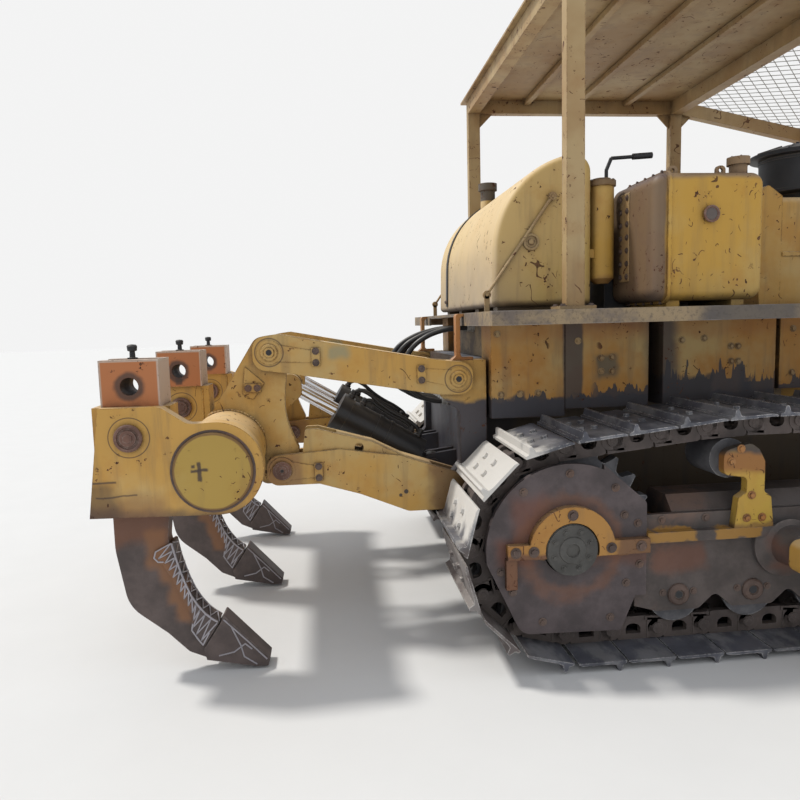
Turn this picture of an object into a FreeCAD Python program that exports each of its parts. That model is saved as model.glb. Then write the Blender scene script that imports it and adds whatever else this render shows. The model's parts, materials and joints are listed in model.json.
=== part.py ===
import FreeCAD, Part
import math
import os

from FreeCAD import Vector

# A crawler bulldozer with a straight blade in front and a three-shank ripper behind.
# Millimetres, +X forward, +Y to the machine's left, +Z up, ground at zero.
# Lengths along X are counted from the sprocket axle; save() moves every piece so that
# the middle of the whole machine lies over the origin.

# Driving sizes of the running gear
LINK_PITCH = 216
LINK_COUNT = 38
SPROCKET_TEETH = 24
LINK_ABOVE_PIN = 62
LINK_BELOW_PIN = 58
SHOE_PLATE = 14
GROUSER = 30
SHOE_WIDTH = 560
GAUGE = 2000
RAIL_INNER = 62
RAIL_OUTER = 100
BUSHING_RADIUS = 31
IDLER_PIN_RADIUS = 400
CARRIER_X = (744, 1950)
CARRIER_PIN_Z = 1003
ROLLER_RADIUS = 100
ROLLER_COUNT = 6
ROLLER_FIRST_X = 500
ROLLER_STEP = 345
GAP = 0.3

PIN_LOW_Z = GROUSER + LINK_ABOVE_PIN
SPROCKET_RADIUS = LINK_PITCH / (2 * math.sin(2 * math.pi / SPROCKET_TEETH))
AXLE_Z = PIN_LOW_Z + SPROCKET_RADIUS
IDLER_Z = PIN_LOW_Z + IDLER_PIN_RADIUS
TRACK_Y = GAUGE / 2
FRAME_INNER_Y = TRACK_Y - 145
SHAFT_REACH = 124
CHEEK_Y = TRACK_Y + SHAFT_REACH

# Driving sizes of the body
HOOD_HALF = 440
HULL_SIDE = HOOD_HALF + 40
DECK_Z = 1515
DECK_DEPTH = 60
DECK_PLATE = 14
SUPPORT_SIDE = 680
CASE_FRONT_X = 760
CASE_TOP_Z = 1095
DECK_SIDE = 1200
DECK_REAR_X = -333
DECK_FRONT_X = 1800
RAIL_Z = (560, 900)
RAIL_Y = (380, 470)
HOOD_TOP_Z = 2089
HOOD_X = (1415, 3080)
HOOD_LOW_Z = 1790
HOOD_SKIN = 6
GUARD_X = (HOOD_X[1], 3310)
GUARD_HALF = HOOD_HALF + 40

# Driving sizes of the canopy
POST_X = (80, 1545)
POST_Y = 990
POST_LENGTH = 80
POST_WIDTH = 60
BEAM_Z = (2902, 2990)
ROOF_Z = 3002
ROOF_OVERHANG = 60
VISOR_FRONT_X = 2600
VISOR_DROP = 205

# Driving sizes of the blade and its lift
BLADE_HALF = 1800
BLADE_FRONT_X = 4500
BLADE_FOOT_Z = 12
BLADE_HEIGHT = 1230
BLADE_RADIUS = 1150
BLADE_SKIN = 24
TRUNNION = (985, 470)
ARM_Y = (TRACK_Y + 325, TRACK_Y + 445)
LIFT_PIVOT = (3120, 1930)
LIFT_EYE = (3985, 520)
LIFT_Y = HOOD_HALF + 160
LIFT_BORE_RADIUS = 78
LIFT_ROD_RADIUS = 36
LIFT_FRONT = 480
LIFT_BACK = 780
LIFT_ROD_INSIDE = 400

# Driving sizes of the ripper linkage
LINK_Y = HULL_SIDE + 120
UPPER_PIN = 32
LOWER_PIN = 38
CYLINDER_PIN = 32
SHANK_PIN = 30
SHANK_PIN_SPOT = (-1790, 1050)
SHANK_HOLE = 36
SHANK_HOLE_SPOT = (-1790, 1250)
PLATE_HALF = 40
FORK_OUTER = 80
FORK_GAP = 5
CASE_REAR_X = -300
FLOOR_RECESS = 120
BRACKET_X = (-284, -230)
BRACKET_Z = (560, 1290)
PIN_HEAD = 12
UPPER_FRONT = (-374, 1204)
UPPER_REAR = (-1261, 1356)
LOWER_REAR = (-1224, 799)
LOWER_FRONT = (LOWER_REAR[0] + UPPER_FRONT[0] - UPPER_REAR[0],
               LOWER_REAR[1] + UPPER_FRONT[1] - UPPER_REAR[1])
RIPPER_BASE = (-453, 729)
RIPPER_EYE = (-1190, 1171)
RIPPER_CYL_Y = 300
RIPPER_BORE_RADIUS = 90
RIPPER_ROD_RADIUS = 35
RIPPER_BARREL = 585
RIPPER_ROD_LENGTH = 560
BEAM_CENTRE = (-1470, 913)
BEAM_RADIUS = 175
BEAM_HALF = 1123
END_PLATE = 70
SHANK_Y = (-970, 0, 970)
SHANK_HALF = 38
POCKET_HALF = 75
POCKET_X = (-1909, -1677)
COVER_RADIUS = 158
COVER_PROUD = 7

# Positions that close the box
REAR_X = -1962
CENTRE_X = (REAR_X + BLADE_FRONT_X) / 2

os.makedirs("parts", exist_ok=True)


def outline(points, plane="xz"):
    """Closed wire through (a, b) points; a third number rounds that corner with its radius."""
    place = {
        "xz": lambda a, b: Vector(a, 0, b),
        "yz": lambda a, b: Vector(0, a, b),
        "xy": lambda a, b: Vector(a, b, 0),
    }[plane]
    corners = [place(p[0], p[1]) for p in points]
    count = len(corners)
    stretches = []
    for i, here in enumerate(corners):
        radius = points[i][2] if len(points[i]) > 2 else 0
        if not radius:
            stretches.append((here, None, here))
            continue
        back = (corners[i - 1] - here).normalize()
        ahead = (corners[(i + 1) % count] - here).normalize()
        half = back.getAngle(ahead) / 2
        reach = radius / math.tan(half)
        middle_line = (back + ahead).normalize()
        centre = here + middle_line * (radius / math.sin(half))
        stretches.append((here + back * reach, centre - middle_line * radius, here + ahead * reach))
    edges = []
    for i, (start, middle, end) in enumerate(stretches):
        if middle is not None:
            edges.append(Part.Arc(start, middle, end).toShape())
        following = stretches[(i + 1) % count][0]
        if end.distanceToPoint(following) > 1e-6:
            edges.append(Part.LineSegment(end, following).toShape())
    return Part.Wire(edges)


def slab(points, low, high, plane="xz", holes=()):
    """Plate of the outline between two positions across its plane; holes are (a, b, radius)."""
    across = {"xz": Vector(0, 1, 0), "yz": Vector(1, 0, 0), "xy": Vector(0, 0, 1)}[plane]
    plate = Part.Face(outline(points, plane))
    plate.translate(across * low)
    plate = plate.extrude(across * (high - low))
    for a, b, radius in holes:
        spot = {"xz": Vector(a, low, b), "yz": Vector(low, a, b), "xy": Vector(a, b, low)}[plane]
        plate = plate.cut(Part.makeCylinder(radius, high - low, spot, across))
    return plate


def box(x, y, z):
    """Block between (low, high) pairs."""
    return Part.makeBox(x[1] - x[0], y[1] - y[0], z[1] - z[0], Vector(x[0], y[0], z[0]))


def rod_y(x, z, radius, low, high):
    return Part.makeCylinder(radius, high - low, Vector(x, low, z), Vector(0, 1, 0))


def rod_z(x, y, radius, low, high):
    return Part.makeCylinder(radius, high - low, Vector(x, y, low), Vector(0, 0, 1))


def bar(start, end, radius):
    """Round bar between two points in space."""
    along = Vector(*end) - Vector(*start)
    return Part.makeCylinder(radius, along.Length, Vector(*start), along)


def turned_y(x, z, rows):
    """Wheel about a Y axis from (y, radius) rows, closed on the axis."""
    first, last = rows[0][0], rows[-1][0]
    rim = [Vector(0, y, r) for y, r in rows]
    corners = [Vector(0, first, 0)] + rim + [Vector(0, last, 0), Vector(0, first, 0)]
    face = Part.Face(Part.makePolygon(corners))
    wheel = face.revolve(Vector(0, 0, 0), Vector(0, 1, 0), 360)
    wheel.translate(Vector(x, 0, z))
    return wheel


def two_sided(half):
    """Section rows of a wheel that is alike on both sides of its middle plane."""
    return [(-y, r) for y, r in reversed(half)] + half


def turned_z(x, y, rows):
    """Turned piece about a Z axis from (z, radius) rows, closed on the axis."""
    rim = [Vector(r, 0, z) for z, r in rows]
    corners = [Vector(0, 0, rows[0][0])] + rim + [Vector(0, 0, rows[-1][0]), Vector(0, 0, rows[0][0])]
    face = Part.Face(Part.makePolygon(corners))
    piece = face.revolve(Vector(0, 0, 0), Vector(0, 0, 1), 360)
    piece.translate(Vector(x, y, 0))
    return piece


def softened(shape, radius, y):
    """The shape with the rim of its flat end at y rounded, all but the flat foot."""
    foot = shape.BoundBox.ZMin + 1
    rim = [edge for edge in shape.Edges
           if all(abs(v.Point.y - y) < 0.01 for v in edge.Vertexes) and edge.BoundBox.ZMax > foot]
    return shape.makeFillet(radius, rim)


def hose(points, radius):
    """Tube along straight runs joined by tangent arcs, each as large as its two runs allow."""
    spots = [Vector(*point) for point in points]
    edges, start, bends = [], spots[0], []
    for before, here, after in zip(spots, spots[1:], spots[2:]):
        back, ahead = before - here, after - here
        half = back.getAngle(ahead) / 2
        reach = 0.45 * min(back.Length, ahead.Length)
        back.normalize()
        ahead.normalize()
        middle_line = (back + ahead).normalize()
        bend = reach * math.tan(half)
        middle = here + middle_line * (reach / math.cos(half) - bend)
        edges.append(Part.LineSegment(start, here + back * reach).toShape())
        edges.append(Part.Arc(here + back * reach, middle, here + ahead * reach).toShape())
        start = here + ahead * reach
        bends.append(round(bend))
    edges.append(Part.LineSegment(start, spots[-1]).toShape())
    path = Part.Wire(edges)
    section = Part.Wire(Part.Circle(spots[0], spots[1] - spots[0], radius).toShape())
    tube = path.makePipeShell([section], True, False)
    share = tube.Volume / (math.pi * radius ** 2 * path.Length)
    print("hose length", round(path.Length), "bends", bends, "volume share", round(share, 3))
    return tube


def joined(pieces):
    """One solid from pieces that touch or overlap."""
    whole = pieces[0].fuse(pieces[1:]) if len(pieces) > 1 else pieces[0]
    return whole.removeSplitter()


def mirrored(shape):
    return shape.mirror(Vector(0, 0, 0), Vector(0, 1, 0))


def both(shape):
    """The piece on the left (+Y) side and its mirror image on the right."""
    return [shape, mirrored(shape)]


def save(name, *shapes):
    """Write one node; its solids keep apart from each other."""
    solids = [solid for shape in shapes for solid in shape.Solids]
    node = Part.makeCompound(solids) if len(solids) > 1 else solids[0].copy()
    node.translate(Vector(-CENTRE_X, 0, 0))
    node.exportStep("parts/" + name + ".step")
    print(name, len(solids), "solids, valid", node.isValid(), "volume", round(node.Volume / 1e9, 4))


# Track chain: pins step along the path by equal chords, and the idler's place closes the loop

def chain_path(idler_x):
    """Stretches of the path from the sprocket's top pin to its bottom pin."""
    top = (0, AXLE_Z + SPROCKET_RADIUS)
    first = (CARRIER_X[0], CARRIER_PIN_Z)
    second = (CARRIER_X[1], CARRIER_PIN_Z)
    away_x = idler_x - second[0]
    away_z = IDLER_Z - second[1]
    distance = math.hypot(away_x, away_z)
    # The tangent point from the second carrier roller onto the idler's pin circle
    angle = math.atan2(-away_z, -away_x) - math.acos(IDLER_PIN_RADIUS / distance)
    arc_start = (idler_x + IDLER_PIN_RADIUS * math.cos(angle), IDLER_Z + IDLER_PIN_RADIUS * math.sin(angle))
    turn = angle + math.pi / 2
    while turn < 0:
        turn += 2 * math.pi
    straight = [(top, first), (first, second), (second, arc_start)]
    return straight, (angle, turn), ((idler_x, PIN_LOW_Z), (0, PIN_LOW_Z))


def along_path(path, idler_x, travel):
    """Point at a distance along the path."""
    straight, (angle, turn), last = path
    for (ax, az), (bx, bz) in straight:
        length = math.hypot(bx - ax, bz - az)
        if travel <= length:
            share = travel / length
            return (ax + (bx - ax) * share, az + (bz - az) * share)
        travel -= length
    if travel <= turn * IDLER_PIN_RADIUS:
        here = angle - travel / IDLER_PIN_RADIUS
        return (idler_x + IDLER_PIN_RADIUS * math.cos(here), IDLER_Z + IDLER_PIN_RADIUS * math.sin(here))
    travel -= turn * IDLER_PIN_RADIUS
    return (last[0][0] - travel, last[0][1])


def step_pins(idler_x):
    """Pins from the sprocket's top forward, round the idler and back to its bottom."""
    path = chain_path(idler_x)
    travel = 0
    pins = [along_path(path, idler_x, 0)]
    around_sprocket = SPROCKET_TEETH // 4
    for _ in range(LINK_COUNT - around_sprocket):
        low, high = travel + LINK_PITCH, travel + 1.2 * LINK_PITCH
        for _ in range(40):
            middle = (low + high) / 2
            here = along_path(path, idler_x, middle)
            if math.hypot(here[0] - pins[-1][0], here[1] - pins[-1][1]) < LINK_PITCH:
                low = middle
            else:
                high = middle
        travel = high
        pins.append(along_path(path, idler_x, travel))
    return pins


def closed_idler_x():
    """Idler position at which the last pin lands under the sprocket."""
    low, high = 2400, 3200
    for _ in range(40):
        middle = (low + high) / 2
        if step_pins(middle)[-1][0] < 0:
            low = middle
        else:
            high = middle
    return (low + high) / 2


IDLER_X = closed_idler_x()


def chain_pins():
    """All pins of the loop, clockwise seen from the right side."""
    pins = step_pins(IDLER_X)[:-1]
    for k in range(SPROCKET_TEETH // 4):
        angle = -math.pi / 2 - k * 4 * math.pi / SPROCKET_TEETH
        pins.append((SPROCKET_RADIUS * math.cos(angle), AXLE_Z + SPROCKET_RADIUS * math.sin(angle)))
    return pins


PINS = chain_pins()


def link_frames():
    """For each link: its first pin, its direction and its outward normal."""
    frames = []
    for i, (ax, az) in enumerate(PINS):
        bx, bz = PINS[(i + 1) % len(PINS)]
        tx, tz = (bx - ax) / LINK_PITCH, (bz - az) / LINK_PITCH
        frames.append(((ax, az), (tx, tz), (-tz, tx)))
    return frames


FRAMES = link_frames()


def joint_point(i, height):
    """Point above the pin where link i begins, on the line that halves the bend."""
    (px, pz), _, normal = FRAMES[i]
    before = FRAMES[i - 1][2]
    nx, nz = normal[0] + before[0], normal[1] + before[1]
    scale = 2 * height / (nx * nx + nz * nz)
    return (px + nx * scale, pz + nz * scale)


def on_link(i, along, height):
    (px, pz), (tx, tz), (nx, nz) = FRAMES[i]
    return (px + tx * along + nx * height, pz + tz * along + nz * height)


def ring(outer, inner, low, high):
    """Closed band between two outlines, across from low to high."""
    return slab(outer, low, high).cut(slab(inner, low - 1, high + 1))


def track():
    """One closed loop: grousered shoes on two rails of links, with the bushings between them."""
    plate_in = LINK_ABOVE_PIN - SHOE_PLATE
    # Shoe section: (distance along the link, height over the plate)
    shoe = [(5, 0), (22, 0), (30, GROUSER), (44, GROUSER), (54, 0), (LINK_PITCH - 5, 0)]
    outer, inner, seat, rail = [], [], [], []
    for i in range(len(FRAMES)):
        outer.append(joint_point(i, plate_in + 3))
        outer += [on_link(i, along, LINK_ABOVE_PIN + rise) for along, rise in shoe]
        inner.append(joint_point(i, plate_in))
        seat.append(joint_point(i, plate_in + 1))
        rail.append(joint_point(i, -LINK_BELOW_PIN + 14))
        rail += [on_link(i, along, -LINK_BELOW_PIN) for along in (20, LINK_PITCH - 20)]
    half = SHOE_WIDTH / 2
    pieces = [ring(outer, inner, -half, half)]
    for low, high in ((-RAIL_OUTER, -RAIL_INNER), (RAIL_INNER, RAIL_OUTER)):
        pieces.append(ring(seat, rail, low, high))
    for x, z in PINS:
        pieces.append(rod_y(x, z, BUSHING_RADIUS, -RAIL_INNER - 5, RAIL_INNER + 5))
    loop = joined(pieces)
    loop.translate(Vector(0, TRACK_Y, 0))
    return loop


def sprocket():
    """Toothed ring whose pockets hold every second bushing."""
    pocket = BUSHING_RADIUS + 1.5
    tooth = 2 * math.pi / SPROCKET_TEETH
    tip = SPROCKET_RADIUS + 22
    # Tooth section: (share of the tooth pitch, radius)
    rows = [(0, SPROCKET_RADIUS - pocket), (0.2, SPROCKET_RADIUS - pocket + 5), (0.33, SPROCKET_RADIUS - 4),
            (0.44, tip), (0.56, tip), (0.67, SPROCKET_RADIUS - 4), (0.8, SPROCKET_RADIUS - pocket + 5)]
    points = []
    for k in range(SPROCKET_TEETH):
        for share, radius in rows:
            angle = math.pi / 2 + (k + share) * tooth
            points.append((radius * math.cos(angle), AXLE_Z + radius * math.sin(angle)))
    wheel = slab(points, TRACK_Y - 34, TRACK_Y + 34)
    return wheel.cut(rod_y(0, AXLE_Z, 181, TRACK_Y - 40, TRACK_Y + 40))


def final_drive():
    """Stepped drum from the hull to the sprocket, with the axle end in the outer bearing."""
    rows = [(HULL_SIDE, 220), (692, 220), (702, 300), (FRAME_INNER_Y - 25, 300),
            (FRAME_INNER_Y - 5, 235), (TRACK_Y - 100, 235),
            (TRACK_Y - 34.5, 225), (TRACK_Y - 34.5, 180), (TRACK_Y + 34, 180),
            (TRACK_Y + 60, 150), (TRACK_Y + 100, 112), (TRACK_Y + 205, 112)]
    return turned_y(0, AXLE_Z, rows)


def idler():
    """Front wheel: two treads for the rails and a guiding flange between them."""
    tread = math.sqrt(IDLER_PIN_RADIUS ** 2 - (LINK_PITCH / 2) ** 2) - LINK_BELOW_PIN - GAP
    flange = tread + 16
    # Half of the section: (distance from the middle plane, radius)
    half = [(50, flange), (56, tread), (98, tread), (98, tread - 40), (64, tread - 62), (64, 140), (104, 120),
            (104, 45), (SHAFT_REACH, 45)]
    wheel = turned_y(IDLER_X, IDLER_Z, two_sided(half))
    wheel.translate(Vector(0, TRACK_Y, 0))
    return wheel


def bottom_rollers():
    """Flanged rollers that run on the lower rails."""
    half = [(105, ROLLER_RADIUS), (105, 122), (118, 122), (118, 28), (SHAFT_REACH, 28)]
    rollers = []
    for k in range(ROLLER_COUNT):
        roller = turned_y(ROLLER_FIRST_X + k * ROLLER_STEP, ROLLER_Z, two_sided(half))
        roller.translate(Vector(0, TRACK_Y, 0))
        rollers.append(roller)
    return rollers


ROLLER_Z = PIN_LOW_Z + LINK_BELOW_PIN + ROLLER_RADIUS + GAP
CARRIER_RADIUS = 88
CARRIER_Z = CARRIER_PIN_Z - LINK_BELOW_PIN - CARRIER_RADIUS - 8
SIDE_PLATE = 25
FRAME_TOP_Z = 690
FRAME_LOW_Z = ROLLER_Z + 130
CHEEK_LOW_Z = ROLLER_Z - 40
FRAME_REAR_X = 475
FRAME_FRONT_X = IDLER_X - IDLER_PIN_RADIUS - 40
LEDGE_Z = (511, 556)
LEDGE_WIDTH = 41
GUARD_RADIUS = 362
GUARD_Y = (CHEEK_Y + SIDE_PLATE, CHEEK_Y + 2 * SIDE_PLATE)
GUARD_FRONT_X = 340
CAP_INNER = 117
CAP_OUTER = 186


def carrier_rollers():
    """Top rollers, each carried from one side by the shaft in its bracket."""
    rows = [(-104, CARRIER_RADIUS), (104, CARRIER_RADIUS), (104, 60), (112, 38),
            (SHAFT_REACH + SIDE_PLATE, 38)]
    rollers = []
    for x in CARRIER_X:
        roller = turned_y(x, CARRIER_Z, rows)
        roller.translate(Vector(0, TRACK_Y, 0))
        rollers.append(roller)
    return rollers


def carrier_brackets():
    """Tapered posts that stand on the frame's ledge and end in a clamp for the roller's shaft."""
    # Post section: (offset from the roller's axis, height), corner radius where rounded
    brackets = []
    for x in CARRIER_X:
        foot = [(x - 16, LEDGE_Z[1]), (x + 164, LEDGE_Z[1]), (x + 150, 690, 12), (x + 118, 712, 15),
                (x + 118, 845, 10), (x + 90, 900, 20), (x + 52, CARRIER_Z + 78, 40),
                (x - 70, CARRIER_Z + 50, 40), (x - 70, CARRIER_Z - 55, 30), (x + 36, CARRIER_Z - 70, 20),
                (x + 36, 712, 15), (x, 690, 12)]
        brackets.append(slab(foot, CHEEK_Y + SIDE_PLATE, CHEEK_Y + SIDE_PLATE + LEDGE_WIDTH))
    return brackets


def track_frame():
    """Box beam over the rollers, cheeks that hold their shafts, and a fork for the idler."""
    bevel = 60
    beam = slab([(FRAME_INNER_Y, FRAME_LOW_Z), (CHEEK_Y, FRAME_LOW_Z), (CHEEK_Y, FRAME_TOP_Z - bevel),
                 (CHEEK_Y - bevel, FRAME_TOP_Z), (FRAME_INNER_Y + bevel, FRAME_TOP_Z),
                 (FRAME_INNER_Y, FRAME_TOP_Z - bevel)], FRAME_REAR_X, FRAME_FRONT_X, "yz")
    pieces = [beam]
    last_x = ROLLER_FIRST_X + (ROLLER_COUNT - 1) * ROLLER_STEP
    fork_x = IDLER_X + 90
    for low, high in ((FRAME_INNER_Y, TRACK_Y - SHAFT_REACH), (CHEEK_Y, CHEEK_Y + SIDE_PLATE)):
        scallops = []
        for k in range(ROLLER_COUNT):
            x = ROLLER_FIRST_X + k * ROLLER_STEP
            scallops += [(x - 95, CHEEK_LOW_Z - 20, 30), (x + 95, CHEEK_LOW_Z - 20, 30)]
            if k + 1 < ROLLER_COUNT:
                scallops += [(x + ROLLER_STEP / 2, CHEEK_LOW_Z + 50, 30)]
        cheek = [(300, FRAME_LOW_Z + 30), (300, CHEEK_LOW_Z + 10)] + scallops
        cheek += [(last_x + 230, CHEEK_LOW_Z + 90), (last_x + 230, IDLER_Z - 90),
                  (fork_x, IDLER_Z - 90, 60), (fork_x, IDLER_Z + 90, 60),
                  (FRAME_FRONT_X + 60, IDLER_Z + 90), (FRAME_FRONT_X, FRAME_TOP_Z - bevel - 5),
                  (300, FRAME_TOP_Z - bevel - 5)]
        pieces.append(slab(cheek, low, high))
    ledge_y = CHEEK_Y + SIDE_PLATE
    pieces.append(box((GUARD_FRONT_X, FRAME_FRONT_X), (ledge_y, ledge_y + LEDGE_WIDTH), LEDGE_Z))
    pieces.append(trunnion())
    return joined(pieces)


def sprocket_guard():
    """Outer plate beside the sprocket: a round upper half and a deep lower plate."""
    split = AXLE_Z - 30
    reach = math.sqrt(GUARD_RADIUS ** 2 - 30 ** 2)
    disc = rod_y(0, AXLE_Z, GUARD_RADIUS, *GUARD_Y)
    lower = slab([(-reach, split + 20), (-reach, split - 20), (-212, split - 340, 70), (228, split - 350, 12),
                  (292, CHEEK_LOW_Z + 70), (GUARD_FRONT_X, CHEEK_LOW_Z + 70), (GUARD_FRONT_X, split + 20)],
                 GUARD_Y[0], GUARD_Y[1])
    shoulder = slab([(150, split), (GUARD_FRONT_X, split), (GUARD_FRONT_X, 690, 30), (150, 860)], *GUARD_Y)
    above = box((-400, GUARD_FRONT_X), (GUARD_Y[0] - 1, GUARD_Y[1] + 1), (split, 1000))
    plate = joined([disc.common(above), lower, shoulder])
    return plate.cut(rod_y(0, AXLE_Z, CAP_INNER, GUARD_Y[0] - 1, GUARD_Y[1] + 1))


def bearing_cap():
    """Half-ring cap over the axle end, bolted down on the frame's split line."""
    split = AXLE_Z - 30
    ring_part = rod_y(0, AXLE_Z, CAP_OUTER, GUARD_Y[1], GUARD_Y[1] + 38)
    ring_part = ring_part.cut(rod_y(0, AXLE_Z, CAP_INNER, GUARD_Y[1] - 1, GUARD_Y[1] + 60))
    ring_part = ring_part.common(box((-300, 300), (GUARD_Y[0], GUARD_Y[1] + 60), (split, 1000)))
    feet = [box(x, (GUARD_Y[1], GUARD_Y[1] + 38), (split, split + 62))
            for x in ((-CAP_OUTER - 92, -CAP_INNER - 20), (CAP_INNER + 20, GUARD_FRONT_X))]
    lug = box((-283, -236), (GUARD_Y[1], GUARD_Y[1] + 28), (split - 130, split))
    return joined([ring_part, lug] + feet)


def trunnion():
    """Round stub on the track frame on which a push arm turns."""
    x, z = TRUNNION
    rows = [(TRACK_Y + 149, 150), (TRACK_Y + 175, 150), (TRACK_Y + 200, 90), (ARM_Y[0] - 25, 80),
            (ARM_Y[0] - 8, 62), (ARM_Y[1] + 4, 62), (ARM_Y[1] + 4, 74), (ARM_Y[1] + 20, 74)]
    stub = turned_y(x, z, rows)
    return stub.cut(box((x - 200, x + 200), (TRACK_Y, TRACK_Y + 190 + GAP), (LEDGE_Z[0] - GAP, 700)))


def rear_case():
    """Steering and transmission case between the final drives."""
    side = [(CASE_REAR_X, 420, 40), (CASE_FRONT_X, 420), (CASE_FRONT_X, CASE_TOP_Z), (-140, CASE_TOP_Z, 60),
            (CASE_REAR_X, 980, 40)]
    return slab(side, -HULL_SIDE, HULL_SIDE)


def main_frame():
    """Two box rails with cross members, from the case to the nose."""
    rails = [box((CASE_FRONT_X, GUARD_X[0] - GAP), (low, high), RAIL_Z) for low, high in
             ((-RAIL_Y[1], -RAIL_Y[0]), (RAIL_Y[0], RAIL_Y[1]))]
    ties = [box((x, x + 110), (-RAIL_Y[0], RAIL_Y[0]), (RAIL_Z[0], RAIL_Z[0] + 110))
            for x in (CASE_FRONT_X, 1895, 2960)]
    return joined(rails + ties)


def belly_guard():
    """Two trays under the engine, one each side of the equalizer bar."""
    trays = []
    for x in ((765, 1840), (2060, 3040)):
        section = [(-RAIL_Y[1], RAIL_Z[0]), (-RAIL_Y[1], 440), (-RAIL_Y[1] + 60, 405), (RAIL_Y[1] - 60, 405),
                   (RAIL_Y[1], 440), (RAIL_Y[1], RAIL_Z[0]), (RAIL_Y[1] - 12, RAIL_Z[0]),
                   (RAIL_Y[1] - 12, 446), (RAIL_Y[1] - 65, 417), (-RAIL_Y[1] + 65, 417),
                   (-RAIL_Y[1] + 12, 446), (-RAIL_Y[1] + 12, RAIL_Z[0])]
        trays.append(slab(section, x[0], x[1], "yz"))
    return trays


def equalizer_bar():
    """Cross beam that rests the nose on both track frames."""
    reach = FRAME_INNER_Y
    section = [(-reach, 470), (-560, 425), (560, 425), (reach, 470), (reach, RAIL_Z[0]), (-reach, RAIL_Z[0])]
    return slab(section, 1870, 2030, "yz")


def engine_block():
    """Plain block of the engine on four feet."""
    block = box((1620, 2780), (-330, 330), (740, 1700))
    feet = [box((x, x + 110), y, (RAIL_Z[1], RAIL_Z[1] + 50)) for x in (1700, 2600)
            for y in ((-RAIL_Y[1], -330), (330, RAIL_Y[1]))]
    return joined([block] + feet)


def hood():
    """Top cover folded down at both sides."""
    low = HOOD_LOW_Z
    outer = [(-HOOD_HALF, low), (HOOD_HALF, low), (HOOD_HALF, HOOD_TOP_Z, 55), (-HOOD_HALF, HOOD_TOP_Z, 55)]
    half = HOOD_HALF - HOOD_SKIN
    inner = [(-half, low - 1), (half, low - 1), (half, HOOD_TOP_Z - HOOD_SKIN, 49),
             (-half, HOOD_TOP_Z - HOOD_SKIN, 49)]
    return slab(outer, *HOOD_X, "yz").cut(slab(inner, HOOD_X[0] - 1, HOOD_X[1] + 1, "yz"))


def engine_side():
    """Side cover below the hood, with a row of louvre slots."""
    panel = box(HOOD_X, (HOOD_HALF - HOOD_SKIN, HOOD_HALF), (RAIL_Z[1] + 60, HOOD_LOW_Z))
    slots = [box((x, x + 60), (400, 500), (1250, 1640)) for x in range(2050, 2950, 150)]
    return panel.cut(Part.makeCompound(slots))


def cowl():
    """Instrument cowl behind the hood, with its face tilted towards the seat."""
    return slab([(HOOD_X[0] - 115, DECK_Z), (HOOD_X[0], DECK_Z), (HOOD_X[0], HOOD_TOP_Z),
                 (HOOD_X[0] - 85, HOOD_TOP_Z + 60, 20), (HOOD_X[0] - 145, HOOD_TOP_Z - 20, 20)],
                -HOOD_HALF, HOOD_HALF)


def radiator_guard():
    """Heavy nose housing, open in front and behind, with feet on the frame rails."""
    outer = [(-GUARD_HALF, 560, 30), (GUARD_HALF, 560, 30), (GUARD_HALF, 2075, 60), (-GUARD_HALF, 2075, 60)]
    inner = [(-GUARD_HALF + 60, 700, 20), (GUARD_HALF - 60, 700, 20), (GUARD_HALF - 60, 2015, 40),
             (-GUARD_HALF + 60, 2015, 40)]
    return slab(outer, *GUARD_X, "yz").cut(slab(inner, GUARD_X[0] - 1, GUARD_X[1] + 1, "yz"))


def radiator_core():
    half = GUARD_HALF - 60
    return slab([(-half, 700, 20), (half, 700, 20), (half, 2015, 40), (-half, 2015, 40)], 3100, 3220, "yz")


def radiator_grille():
    """Upright bars in a flat frame across the nose opening."""
    half = GUARD_HALF - 60
    frame = slab([(-half, 700, 20), (half, 700, 20), (half, 2015, 40), (-half, 2015, 40)], 3260, 3290, "yz")
    window = slab([(-half + 40, 740), (half - 40, 740), (half - 40, 1975), (-half + 40, 1975)],
                  3255, 3295, "yz")
    bars = [box((3265, 3285), (y, y + 16), (735, 1980)) for y in range(-half + 100, half - 60, 90)]
    return joined([frame.cut(window)] + bars)


def fender():
    """Deck over a track: a plate with its edge folded down, and box supports against the hull."""
    plate = box((DECK_REAR_X, DECK_FRONT_X), (HULL_SIDE, DECK_SIDE), (DECK_Z - DECK_PLATE, DECK_Z))
    edge = box((DECK_REAR_X, DECK_FRONT_X), (DECK_SIDE - 12, DECK_SIDE), (DECK_Z - DECK_DEPTH, DECK_Z))
    ends = [box((x, x + 12), (HULL_SIDE, DECK_SIDE), (DECK_Z - DECK_DEPTH, DECK_Z))
            for x in (DECK_REAR_X, DECK_FRONT_X - 12)]
    return joined([plate, edge] + ends)


def fender_supports():
    """Boxes between the hull and the deck, in three bays with gaps between them."""
    # Bays: (rear, front, lower edge)
    bays = [(-214, 150, 1005), (154, 575, 1040), (650, 1239, 1040), (1262, 1780, 1100)]
    return [box((rear, front), (HULL_SIDE, SUPPORT_SIDE), (low, DECK_Z - DECK_PLATE))
            for rear, front, low in bays]


def operator_floor():
    """Raised frame on top of the case and the rails, set back at the rear, and the floor plate on it."""
    top = DECK_Z - DECK_PLATE
    recess_x = CASE_REAR_X + FLOOR_RECESS
    side = [(CASE_REAR_X, CASE_TOP_Z), (CASE_FRONT_X, CASE_TOP_Z), (CASE_FRONT_X, RAIL_Z[1]),
            (HOOD_X[0], RAIL_Z[1]), (HOOD_X[0], top), (recess_x, top), (recess_x, BRACKET_Z[1]),
            (CASE_REAR_X, BRACKET_Z[1])]
    plate = box((DECK_REAR_X, HOOD_X[0]), (-HULL_SIDE, HULL_SIDE), (top, DECK_Z))
    return joined([slab(side, -HULL_SIDE, HULL_SIDE), plate])


TANK_HALF = 750
TANK_BASE_Z = 1540
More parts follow.
